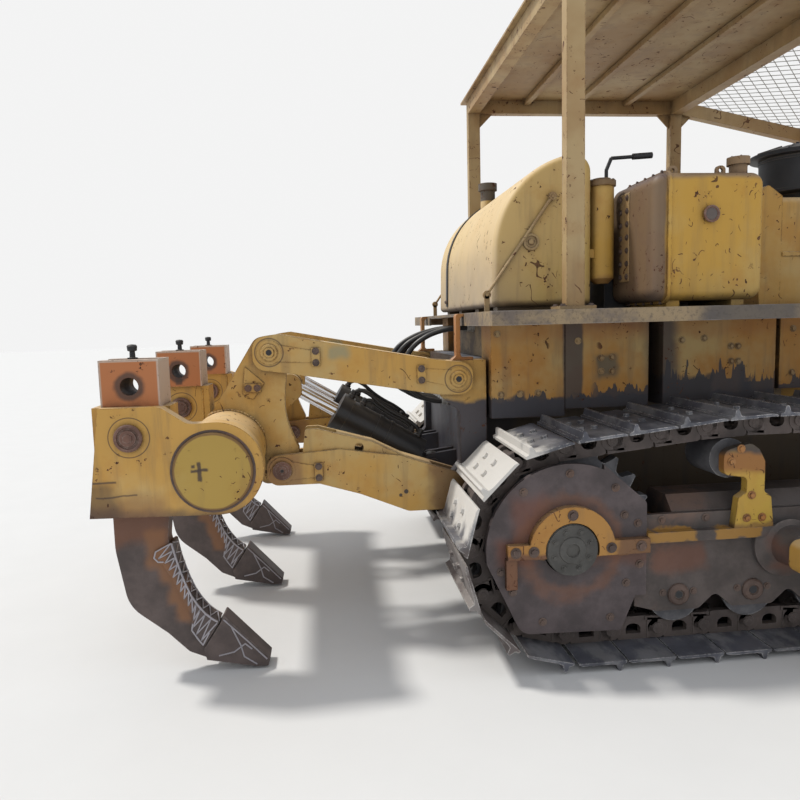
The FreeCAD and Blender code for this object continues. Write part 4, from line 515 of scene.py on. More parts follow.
# Plain finishes: colour, roughness, metal, speckle, dust, wear
PLAIN = {
    "cylinder_black": ((0.016, 0.016, 0.018), 0.40, 0.0, 0.5, 0.12, 0.3),
    "chrome_rod": ((0.72, 0.72, 0.74), 0.14, 1.0, 0.1, 0.06),
    "mesh_steel": ((0.42, 0.42, 0.41), 0.6, 0.35, 0.5, 0.2),
    "black_vinyl": ((0.030, 0.030, 0.032), 0.55, 0.0, 0.3, 0.2),
    "black_paint": ((0.024, 0.025, 0.029), 0.55, 0.0, 0.4, 0.25, 0.5),
    "hose_rubber": ((0.022, 0.022, 0.023), 0.38, 0.0, 0.4, 0.25),
    "weld_metal": ((0.40, 0.38, 0.41), 0.40, 0.3, 0.4, 0.1),
    "oil_glass": ((0.11, 0.085, 0.075), 0.08, 0.0, 0.3, 0.1),
    "dial_white": ((0.62, 0.61, 0.57), 0.35, 0.0, 0.2, 0.2),
    "lamp": ((0.75, 0.77, 0.80), 0.12, 0.2, 0.1, 0.2),
}


def make_materials():
    paint = bpy.context.scene.dozer_paint
    ochre, faded = tuple(paint.ochre), tuple(paint.faded)
    # Paint: sound tone, faded tone, chips, dirt, wear, dust, painted sunlight on the rear
    for name, *looks in (
            ("faded_ochre_paint", ochre, faded, paint.chips),
            ("beam_paint", ochre, faded, paint.chips, 0.65),
            ("support_paint", (0.47, 0.225, 0.045), shade(faded, 0.9), 0.45, 0.75),
            ("bracket_paint", ochre, faded, 0.4, 0.7),
            ("link_paint", ochre, shade(faded, 0.92), 0.3, 0.6),
            # The fuel tank's curved back gets painted sunlight on the faces that turn to the rear
            ("tank_paint", (0.98 * faded[0], 0.98 * faded[1], 0.8 * faded[2]), faded, 0.45, 0.5, 0.6, 0.75, 0.75),
            ("oil_tank_paint", (0.50, 0.285, 0.045), (0.50, 0.32, 0.09), 0.75, 0.45, 0.6, 0.25),
            ("canister_paint", (0.56, 0.33, 0.065), (0.58, 0.37, 0.11), 0.55, 0.4, 0.6, 0.3),
            ("blade_paint", ochre, faded, 0.6, 0.8, 0.6, 0.35),
            ("hull_paint", ochre, shade(faded, 0.8), 0.5, 0.8),
            ("carrier_paint", (0.50, 0.33, 0.05), (0.50, 0.30, 0.06), 0.8, 0.6),
            ("cap_paint", (0.36, 0.155, 0.035), (0.42, 0.21, 0.05), 0.95, 0.75),
            ("orange_rust_paint", (0.38, 0.155, 0.040), (0.40, 0.20, 0.07), 0.6, 0.6),
            ("mustard_paint", (0.42, 0.275, 0.060), (0.44, 0.31, 0.095), 0.35, 0.4, 0.3, 0.2),
            ("canopy_paint", (0.34, 0.215, 0.095), (0.42, 0.30, 0.150), 0.5, 0.5)):
        old_paint(name, *looks)
    for name, looks in STEELS.items():
        worn_steel(name, *looks)
    for name, looks in PLAIN.items():
        plain_finish(name, *looks)
    trodden_deck("dusty_deck")


# Shapes

def laid_along(direction):
    """Matrix that turns the Z axis into a direction."""
    return direction.to_track_quat("Z", "Y").to_matrix().to_4x4()


class Shape:
    """A mesh put together from bmesh operators: points in metres of the frame, sizes in millimetres."""

    def __init__(self):
        self.bm = bmesh.new()

    def cylinder(self, start, end, radius, other=None, segments=16, caps=True):
        middle = Matrix.Translation((start + end) / 2)
        bmesh.ops.create_cone(self.bm, cap_ends=caps, segments=segments, radius1=radius / 1000,
                              radius2=(radius if other is None else other) / 1000, depth=(end - start).length,
                              matrix=middle @ laid_along(end - start))

    def stub(self, start, direction, low, high, radius, other=None, segments=16):
        """Short cylinder on a line, between two distances from its start."""
        self.cylinder(start + direction * (low / 1000), start + direction * (high / 1000), radius, other, segments)

    def block(self, low, high, bevel=0):
        size = high - low
        place = Matrix.Translation((low + high) / 2) @ Matrix.Diagonal((*[abs(v) for v in size], 1))
        verts = bmesh.ops.create_cube(self.bm, size=1, matrix=place)["verts"]
        if bevel:
            edges = list({edge for vert in verts for edge in vert.link_edges})
            bmesh.ops.bevel(self.bm, geom=edges, offset=bevel / 1000, segments=1, profile=0.5,
                            affect="EDGES", material=-1)

    def plate(self, outline, low, high, place, holes=()):
        """Flat plate: outline and holes are loops of (a, b), place(a, b, c) gives the point in the frame."""
        edges = []
        for loop in (outline, *holes):
            verts = [self.bm.verts.new(place(a, b, low)) for a, b in loop]
            edges += [self.bm.edges.new((verts[i - 1], verts[i])) for i in range(len(verts))]
        if holes:
            made = bmesh.ops.triangle_fill(self.bm, edges=edges, use_beauty=True)["geom"]
        else:
            made = bmesh.ops.contextual_create(self.bm, geom=edges)["faces"]
        faces = [item for item in made if isinstance(item, bmesh.types.BMFace)]
        grown = bmesh.ops.extrude_face_region(self.bm, geom=faces, use_keep_orig=True)["geom"]
        top = [item for item in grown if isinstance(item, bmesh.types.BMVert)]
        bmesh.ops.translate(self.bm, verts=top, vec=place(0, 0, high) - place(0, 0, low))

    def lathe(self, rows, start, direction, segments=32):
        """Turned piece about a line: rows are (distance along the line, radius)."""
        direction = direction.normalized()
        side = direction.orthogonal().normalized()
        before = len(self.bm.verts)
        verts = [self.bm.verts.new(start + direction * (along / 1000) + side * (radius / 1000))
                 for along, radius in rows]
        edges = [self.bm.edges.new(pair) for pair in zip(verts, verts[1:])]
        bmesh.ops.spin(self.bm, geom=verts + edges, cent=start, axis=direction, angle=2 * math.pi,
                       steps=segments, use_merge=True, use_duplicate=False)
        self.bm.verts.ensure_lookup_table()
        bmesh.ops.remove_doubles(self.bm, verts=self.bm.verts[before:], dist=1e-6)

    def band(self, centre, direction, half, inner, outer, segments):
        """Hoop round a line, half its width to each side of a centre."""
        self.lathe([(-half, inner), (-half, outer), (half, outer), (half, inner), (-half, inner)],
                   centre, direction, segments)

    def bolt(self, centre, direction, radius, height, washer=True):
        """Hexagon bolt head on its washer."""
        if washer:
            self.stub(centre, direction, -2, 3, radius * 1.55, segments=12)
        self.stub(centre, direction, 0, height, radius, radius * 0.94, 6)

    def bead(self, start, end, radius):
        """Weld bead laid between two points, in overlapping drops."""
        steps = max(2, int((end - start).length / 0.02))
        for k in range(steps):
            centre = Matrix.Translation(start.lerp(end, (k + 0.5) / steps))
            bmesh.ops.create_icosphere(self.bm, subdivisions=1, radius=1, matrix=centre @ laid_along(end - start) @
                                       Matrix.Diagonal((radius / 1000, radius / 1000, 0.013, 1)))

    def rod(self, points, radius, segments=8):
        """Round rod through points, with a ball at each bend."""
        for start, end in zip(points, points[1:]):
            self.cylinder(start, end, radius, segments=segments)
        for point in points[1:-1]:
            bmesh.ops.create_icosphere(self.bm, subdivisions=2, radius=radius / 1000,
                                       matrix=Matrix.Translation(point))

    def become(self, name, finish, body, smooth_angle=35):
        """Object of this shape with its finish, riding on a body."""
        bmesh.ops.recalc_face_normals(self.bm, faces=self.bm.faces)
        mesh = bpy.data.meshes.new(name)
        self.bm.to_mesh(mesh)
        self.bm.free()
        for face in mesh.polygons:
            face.use_smooth = True
        mesh.set_sharp_from_angle(angle=math.radians(smooth_angle))
        piece = bpy.data.objects.new(name, mesh)
        bpy.context.scene.collection.objects.link(piece)
        mesh.materials.append(MATERIALS[finish])
        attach(piece, body)
        SLOT_OF.get(finish, finish)
        return piece


@contextmanager
def pieces(body="root", **finishes):
    """One shape to fill for each name, made into an object with its finish on the body at the end."""
    shapes = [Shape() for _ in finishes]
    yield shapes
    for shape, (name, finish) in zip(shapes, finishes.items()):
        shape.become(name, finish, body)


# Stage

class DOZER_OT_stage(bpy.types.Operator):
    """Floor, light and the camera at the photograph's viewing angle"""
    bl_idname = "dozer.stage"
    bl_label = "Stage"

    CAMERA_AT = (-2.272, -3.970, 1.475)
    YAW, PITCH, ROLL = 6.0, -6.25, -1.48
    LENS = 31.5
    SENSOR_WIDTH = 36
    FLOOR_RADIUS = 60
    SKY_TINT = (0.93, 0.96, 1.0, 1)
    BACKDROP = (0.9, 0.9, 0.9, 1)
    KEY_TINT = (1.0, 0.97, 0.91)
    KEY_DIRECTION = (0.50, -0.20, -0.84)

    def execute(self, context):
        settings = context.scene.dozer_stage
        self.camera(context)
        self.floor(context, settings)
        self.light(context, settings)
        context.scene.view_settings.view_transform = "Standard"
        return {"FINISHED"}

    def camera(self, context):
        yaw, pitch, roll = (math.radians(v) for v in (self.YAW, self.PITCH, self.ROLL))
        ahead = Vector((math.sin(yaw) * math.cos(pitch), math.cos(yaw) * math.cos(pitch), math.sin(pitch)))
        right = Vector((math.cos(yaw), -math.sin(yaw), 0))
        level = Matrix((right, right.cross(ahead), -ahead)).transposed()
        lens = bpy.data.cameras.new("photo_camera")
        lens.lens = self.LENS
        lens.sensor_width = self.SENSOR_WIDTH
        lens.clip_end = 200
        camera = bpy.data.objects.new("photo_camera", lens)
        turned = level @ Matrix.Rotation(roll, 3, "Z")
        camera.matrix_world = Matrix.Translation(self.CAMERA_AT) @ turned.to_4x4()
        context.scene.collection.objects.link(camera)
        context.scene.camera = camera

    def floor(self, context, settings):
        shape = bmesh.new()
        bmesh.ops.create_circle(shape, cap_ends=True, segments=64, radius=self.FLOOR_RADIUS)
        mesh = bpy.data.meshes.new("floor")
        shape.to_mesh(mesh)
        shape.free()
        floor = bpy.data.objects.new("floor", mesh)
        context.scene.collection.objects.link(floor)
        graph = Graph("floor")
        colour = tuple(settings.floor)
        graph.set(Base_Color=graph.mix(graph.noise(3, 6, 0.6), colour, shade(colour, 0.94)), Roughness=0.9)
        mesh.materials.append(graph.material)

    def light(self, context, settings):
        world = bpy.data.worlds.new("studio")
        world.use_nodes = True
        tree = world.node_tree
        sky = tree.nodes["Background"]
        backdrop = tree.nodes.new("ShaderNodeBackground")
        for node, tint, strength in ((sky, self.SKY_TINT, settings.sky), (backdrop, self.BACKDROP, 1.0)):
            node.inputs["Color"].default_value = tint
            node.inputs["Strength"].default_value = strength
        rays = tree.nodes.new("ShaderNodeLightPath")
        choice = tree.nodes.new("ShaderNodeMixShader")
        for start, end in ((rays.outputs["Is Camera Ray"], choice.inputs[0]), (sky.outputs[0], choice.inputs[1]),
                           (backdrop.outputs[0], choice.inputs[2]),
                           (choice.outputs[0], tree.nodes["World Output"].inputs[0])):
            tree.links.new(start, end)
        context.scene.world = world
        key = bpy.data.lights.new("key", "SUN")
        key.energy = settings.sun
        key.angle = math.radians(6)
        key.color = self.KEY_TINT
        lamp = bpy.data.objects.new("key", key)
        lamp.rotation_euler = Vector(self.KEY_DIRECTION).to_track_quat("-Z", "Y").to_euler()
        context.scene.collection.objects.link(lamp)


class DOZER_OT_finish_nodes(bpy.types.Operator):
    """Gives every carried-over CAD node its finish"""
    bl_idname = "dozer.finish_nodes"
    bl_label = "Finishes"

    def execute(self, context):
        make_materials()
        for entry in frame["record"]["subparts"]:
            node = NODES[entry["node"]]
            node.data.materials.clear()
            node.data.materials.append(MATERIALS[FINISH_OF.get(entry["node"], entry["material_slot"])])
        return {"FINISHED"}


# Track chain: pins step along the path by equal chords, as in the part's source

PITCH = 216
TEETH = 24
PIN_LOW_Z = 92
PITCH_RADIUS = PITCH / (2 * math.sin(2 * math.pi / TEETH))
AXLE_Z = PIN_LOW_Z + PITCH_RADIUS
IDLER_RADIUS = 400
LINKS = 38
CARRIERS = ((744, 1003), (1950, 1003))
TRACK_Y = 1000


def chain_path(idler_x):
    """Function that gives the point of the path at a distance from the sprocket's top pin."""
    idler_z = PIN_LOW_Z + IDLER_RADIUS
    away_x, away_z = idler_x - CARRIERS[1][0], idler_z - CARRIERS[1][1]
    angle = math.atan2(-away_z, -away_x) - math.acos(IDLER_RADIUS / math.hypot(away_x, away_z))
    turn = (angle + math.pi / 2) % (2 * math.pi)

    def on_idler(here):
        return Vector((idler_x + IDLER_RADIUS * math.cos(here), idler_z + IDLER_RADIUS * math.sin(here)))

    corners = [Vector((0, AXLE_Z + PITCH_RADIUS)), *[Vector(p) for p in CARRIERS], on_idler(angle)]

    def point(travel):
        for a, b in zip(corners, corners[1:]):
            if travel <= (b - a).length:
                return a.lerp(b, travel / (b - a).length)
            travel -= (b - a).length
        if travel <= turn * IDLER_RADIUS:
            return on_idler(angle - travel / IDLER_RADIUS)
        return Vector((idler_x - travel + turn * IDLER_RADIUS, PIN_LOW_Z))

    return point


def halved(low, high, short):
    """Limits closed in, by 30 halvings, on the value where short(value) turns false."""
    for _ in range(30):
        middle = (low + high) / 2
        if short(middle):
            low = middle
        else:
            high = middle
    return low, high


def step_pins(idler_x):
    point = chain_path(idler_x)
    travel, pins = 0, [point(0)]
    for _ in range(LINKS - TEETH // 4):
        travel = halved(travel + PITCH, travel + 1.2 * PITCH,
                        lambda middle: (point(middle) - pins[-1]).length < PITCH)[1]
        pins.append(point(travel))
    return pins


def chain_pins():
    """Pins round the chain, with the idler where the last step meets the sprocket's lowest pin."""
    pins = step_pins(halved(2400, 3200, lambda middle: step_pins(middle)[-1].x < 0)[0])[:-1]
    for k in range(TEETH // 4):
        angle = -math.pi / 2 - k * 4 * math.pi / TEETH
        pins.append(Vector((PITCH_RADIUS * math.cos(angle), AXLE_Z + PITCH_RADIUS * math.sin(angle))))
    return pins


def link_place(side, first, second):
    """Function from (along, height, across) on a link, in millimetres, to the frame."""
    along = (second - first) / PITCH
    normal = Vector((-along.y, along.x))

    def place(u, n, y):
        spot = first + along * u + normal * n
        return at(spot.x, side * TRACK_Y + y, spot.y)

    return place


class DOZER_OT_tracks(bpy.types.Operator):
    """Track chains and shoes, link by link"""
    bl_idname = "dozer.tracks"
    bl_label = "Tracks"

    WEB = ((32, 48), (184, 48), (184, -52), (170, -58), (46, -58), (32, -52))
    WINDOWS = ([(78, 22), (78, -4), (88, -18), (106, -25), (126, -25), (142, -16), (148, 0), (146, 22)],)
    # Ends of a link: distance along it, two faces across, width of the web beside the boss, ends of the foot
    ENDS = ((0, 83, 101, 50, -26, 60), (PITCH, 63, 82, -50, PITCH - 60, PITCH + 22))
    SHOE = ((4, 48), (6, 60), (20, 64), (29, 92), (41, 92), (50, 66), (70, 62), (196, 62), (212, 56),
            (212, 49), (190, 50))

    def execute(self, context):
        pins = chain_pins()
        for side, name in zip(SIDES, ("right", "left")):
            chain, shoes = Shape(), Shape()
            for first, second in zip(pins, pins[1:] + pins[:1]):
                place = link_place(side, first, second)
                self.link(chain, place)
                self.shoe(shoes, place)
            chain.become(f"{name}_track_chain", "track_link_steel", "root")
            piece = shoes.become(f"{name}_track_shoes", "shoe_steel", "root", smooth_angle=30)
            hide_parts(f"track_{name}")
        return {"FINISHED"}

    def link(self, shape, place):
        for sign in SIDES:
            def side(u, n, y, sign=sign):
                return place(u, n, sign * y)
            shape.plate(self.WEB, 64, 97, side, self.WINDOWS)
            for u, low, high, web, foot, toe in self.ENDS:
                shape.cylinder(side(u, 0, low), side(u, 0, high), 47, segments=20)
                shape.plate([(u, 46), (u + web, 40), (u + web, -50), (u, -46)], low, high, side)
                shape.plate([(foot, -38), (toe, -38), (toe, -57), (foot, -57)], low, high, side)
            shape.cylinder(side(0, 0, 100), side(0, 0, 107), 27, 24, segments=12)
            shape.cylinder(side(0, 0, 106), side(0, 0, 108.5), 12, 10, segments=8)
        shape.cylinder(place(0, 0, -66), place(0, 0, 66), 30.5, segments=14)

    def shoe(self, shape, place):
        shape.plate(self.SHOE, -280, 280, place)
        for u in (88, 150):
            for y in (-81, 81):
                shape.cylinder(place(u, 61, y), place(u, 75, y), 16, 15, segments=6)


# Ripper details

LINK_Y = 600
# Outer and inner faces of a link's two cheeks, and the outer face of the beam's plate between them
CHEEKS = (LINK_Y + 92, LINK_Y - 92)
PLATE_FACE = 660
SHANK_PIN = (-1790, 1050)


def along_line(points, share):
    """Point at a share of a broken line's length."""
    spots = [Vector(point) for point in points]
    lengths = [(b - a).length for a, b in zip(spots, spots[1:])]
    travel = share * sum(lengths)
    for start, end, length in zip(spots, spots[1:], lengths):
        if travel <= length:
            return start.lerp(end, travel / length)
        travel -= length
    return spots[-1]


class DOZER_OT_ripper_pins(bpy.types.Operator):
    """Rusty rings, grease holes with painted shade in them, and keeper bolts on the ripper's pins"""
    bl_idname = "dozer.ripper_pins"
    bl_label = "Ripper pins"

    # Body, finish, places of its pins and of its keeper blocks, radius of the pin and of its grease hole
    PINS = (("ripper_upper", "link_paint", ((-374, 1204), (-1261, 1356)), ((-552, 1232), (-1047, 1330)), 32, 14),
            ("ripper_lower", "rusty_pin", ((-337, 647), (-1224, 799)), ((-1053, 786),), 38, 9))

    def execute(self, context):
        for body, finish, spots, keepers, radius, hole in self.PINS:
            rows = [(0, 0), (0, radius + 6), (4, radius + 5), (4, radius - 4), (1.5, radius - 7), (1.5, hole + 9),
                    (5, hole + 8), (5, hole), (1, hole), (1, 0)]
            with pieces(body, **{f"{body}_pin_rings": finish, f"{body}_pin_hole_shade": "black_paint",
                                 f"{body}_keeper_bolts": "rusty_plate"}) as (rings, holes, bolts):
                for side in SIDES:
                    for x, z in spots:
                        for face, out in zip(CHEEKS, (side, -side)):
                            start, along = at(x, side * face, z), outward(out)
                            rings.lathe(rows, start, along, 28)
                            # Black discs at the bottoms of the grease holes: painted shade in the holes
                            holes.stub(start, along, 0.5, 2, hole + 1, segments=18)
                    for x, z in keepers:
                        for rise in (-27, 27):
                            bolts.bolt(at(x, side * CHEEKS[0], z + rise), outward(side), 11, 10)
        with pieces("ripper_beam", arm_keeper_bolts="rusty_plate") as (bolts,):
            for side in SIDES:
                for x in (-1366, -1324):
                    bolts.bolt(at(x, side * PLATE_FACE, 1192), outward(side), 11, 10)
        return {"FINISHED"}


class DOZER_OT_beam_ends(bpy.types.Operator):
    """Round covers on the ripper beam's ends, rings on the shank pins and knobs on the pockets"""
    bl_idname = "dozer.beam_ends"
    bl_label = "Beam ends"

    KNOB = ((0, 0), (0, 20), (4, 22), (6, 12), (30, 11), (33, 19), (52, 21), (58, 16), (60, 0))

    def execute(self, context):
        with pieces("ripper_beam", beam_covers="mustard_paint", beam_cover_grooves="rusty_plate",
                    shank_pin_rings="rusty_pin", pocket_knobs="black_paint") as (covers, grooves, rings, knobs):
            for side in SIDES:
                along = outward(side)
                grooves.lathe([(-6, 170), (1.5, 170), (1.5, 150), (-6, 150), (-6, 170)],
                              at(-1470, side * 1123, 900), along, 48)
                covers.lathe([(0, 0), (0, 160), (6, 158), (9, 152), (9, 0)], at(-1470, side * 1129, 900), along, 48)
                for y, facing in ((1135, side), (87, side), (883, -side)):
                    self.pin_ring(rings, side * y, outward(facing))
            for y in SHANKS:
                knobs.lathe(self.KNOB, at(-1803, y + 30, 1357), UP, 20)
        return {"FINISHED"}

    def pin_ring(self, rings, y, along):
        pin = at(SHANK_PIN[0], y, SHANK_PIN[1])
        rings.lathe([(0, 0), (0, 56), (8, 55), (11, 51), (11, 44), (3, 41), (3, 34), (10, 32), (10, 0)], pin, along)
        rings.stub(pin, along, 9, 14, 21, 19, 6)


class DOZER_OT_welds(bpy.types.Operator):
    """Hard-facing weld lattice on the shank guards and points, and weld seams on the ripper beam"""
    bl_idname = "dozer.welds"
    bl_label = "Welds"

    # Front and rear edges of a guard's side, and lines on a point's side, as (X, Z)
    RIDGE = ((-1676, 580), (-1662, 516), (-1645, 452), (-1627, 395), (-1606, 343), (-1581, 300), (-1552, 262),
             (-1526, 238), (-1503, 222))
    HOLLOW = ((-1745, 528), (-1728, 500), (-1707, 492), (-1692, 458), (-1676, 424), (-1656, 375), (-1636, 326),
              (-1616, 288), (-1600, 254), (-1608, 222), (-1613, 192), (-1588, 150), (-1570, 124))
    HOOK = ((-1676, 580), (-1712, 562), (-1742, 546), (-1750, 520), (-1735, 502), (-1712, 500))
    POINT_LINES = (((-1478, 232), (-1380, 128), (-1302, 42)), ((-1446, 196), (-1410, 110), (-1398, 60), (-1345, 22)),
                   ((-1505, 72), (-1440, 84), (-1392, 118), (-1364, 92)))
    GUARD_FACE, POINT_FACE = 48, 52
    SIDE_TURNS, FRONT_TURNS = 26, 18

    def execute(self, context):
        with pieces("ripper_beam", weld_lattice="weld_metal",
                    beam_weld_seams="faded_ochre_paint") as (lattice, seams):
            for y in SHANKS:
                for side in SIDES:
                    self.side_lattice(lattice, y, side)
                self.front_lattice(lattice, y)
                for side in SIDES:
                    for x in (-1901, -1676):
                        seams.bead(at(x, y + side * 76, 760), at(x, y + side * 76, 1150), 6)
            for side in SIDES:
                for edge in SIDES:
                    self.tube_seam(seams, side * LINK_Y + edge * 43)
        return {"FINISHED"}

    def side_lattice(self, shape, y, side):
        def lay(points, depth, radius):
            shape.rod([at(x, y + side * depth, z) for x, z in points], radius, 6)
        zigzag = []
        for k in range(self.SIDE_TURNS + 1):
            front, rear = (along_line(line, k / self.SIDE_TURNS) for line in (self.RIDGE, self.HOLLOW))
            zigzag.append(front.lerp(rear, 0.92 if k % 2 else 0.05))
        for points, radius in ((self.RIDGE, 4.5), (self.HOOK, 3.5), (self.HOLLOW[-4:] + ((-1540, 178),), 3.5),
                               (zigzag, 3.2)):
            lay(points, self.GUARD_FACE, radius)
        for line in self.POINT_LINES:
            lay(line, self.POINT_FACE, 3.2)

    def front_lattice(self, shape, y):
        spots = []
        for k in range(self.FRONT_TURNS + 1):
            point = along_line(self.RIDGE, k / self.FRONT_TURNS)
            spots.append(at(point.x + 6, y + (40 if k % 2 else -40), point.y + 1))
        shape.rod(spots, 3, 6)

    def tube_seam(self, shape, y):
        """Bead on the cross tube's back, along a plate's face."""
        turns = [math.radians(angle) for angle in range(20, 121, 10)]
        spots = [at(-1470 + 178 * math.cos(t), y, 913 + 178 * math.sin(t)) for t in turns]
        for start, end in zip(spots, spots[1:]):
            shape.bead(start, end, 7)


class DOZER_OT_tank_details(bpy.types.Operator):
    """Stay rods, end bosses and strap on the fuel tank, and cover, bolts and gauge on the oil tank"""
    bl_idname = "dozer.tank_details"
    bl_label = "Tank details"

    # The fuel tank's back: foot of its upright rear side, centre and radius of its curve, end of its sloping top
    BACK_FOOT = (-218.5, 1572)
    CURVE_CENTRE = (242, 1786)
    CURVE_RADIUS = 455
    TOP_END = (168, 2239)
    STRAP_Y = (436, 482)
    STAY_Y = 763
    # The oil tank's rear face, its rear cover's face, and its gauge
    FACE, COVER_FACE = 474, 410
    GAUGE = (666, -1062, 1908)

    def execute(self, context):
        self.stays()
        self.strap()
        self.oil_tank()
        return {"FINISHED"}

    def stays(self):
        with pieces(tank_stay_rods="canopy_paint", tank_end_bosses="canopy_paint") as (stays, boss):
            for side in SIDES:
                top, low = at(64, side * self.STAY_Y, 2039), at(-250, side * self.STAY_Y, 1596)
                stays.rod([top, low], 7, 10)
                for centre in (top, low):
                    stays.band(centre, outward(1), 6, 8, 19, 18)
                    stays.stub(centre, outward(side), -14, 9, 8, segments=10)
                stays.block(at(-262, side * 757, 1515), at(-238, side * 769, 1600), 2)
                boss.lathe([(0, 0), (0, 40), (10, 38), (12, 28), (5, 26), (5, 14), (12, 12), (12, 0)],
                           at(-36, side * 750, 1834), outward(side), 28)

    def strap(self):
        """Flat band that follows the tank's curved back."""
        def outline(out):
            spots = [(self.BACK_FOOT[0] - out, self.BACK_FOOT[1])]
            for angle in range(179, 105, -6):
                turn = math.radians(angle)
                spots.append((self.CURVE_CENTRE[0] + (self.CURVE_RADIUS + out) * math.cos(turn),
                              self.CURVE_CENTRE[1] + (self.CURVE_RADIUS + out) * math.sin(turn)))
            return spots + [(self.TOP_END[0], self.TOP_END[1] + out)]

        with pieces(tank_strap="black_paint", tank_strap_bolts="rusty_plate") as (strap, studs):
            strap.plate(outline(7) + outline(-5)[::-1], *self.STRAP_Y, lambda a, b, c: at(a, c, b))
            for y in (448, 470):
                studs.bolt(at(-225, y, 1600), -AHEAD, 8, 10)

    def oil_tank(self):
        with pieces(oil_tank_cover="canopy_paint", oil_tank_bolts="rusty_plate", oil_gauge_ring="rusty_pin",
                    oil_gauge_glass="oil_glass") as (cover, bolts, gauge, pane):
            cover.block(at(self.COVER_FACE, -806, 1640), at(self.COVER_FACE + 8, -706, 2046), 3)
            for z in range(1664, 2025, 60):
                for y in (-722, -790):
                    bolts.bolt(at(self.COVER_FACE, y, z), -AHEAD, 9, 8)
            for y in (-680, -760, -840, -920, -1000):
                for z in (1535, 2095):
                    bolts.bolt(at(self.FACE, y, z), -AHEAD, 8, 7, washer=False)
            # Rings of bolts round the canister's lid and the filler cap
            for turn in around(6, 15):
                for x, y, z, ring, radius, washer in ((327, -690, 2116, 55, 7, True), (850, -950, 2166, 38, 4, False)):
                    bolts.bolt(at(x + ring * math.cos(turn), y + ring * math.sin(turn), z), UP, radius, radius, washer)
            gauge.lathe([(0, 0), (0, 36), (6, 36), (8, 30), (3, 26), (3, 0)], at(*self.GAUGE), outward(-1), 28)
            pane.lathe([(3, 0), (3, 25.5), (4.5, 22), (6, 10), (6.5, 0)], at(*self.GAUGE), outward(-1), 28)


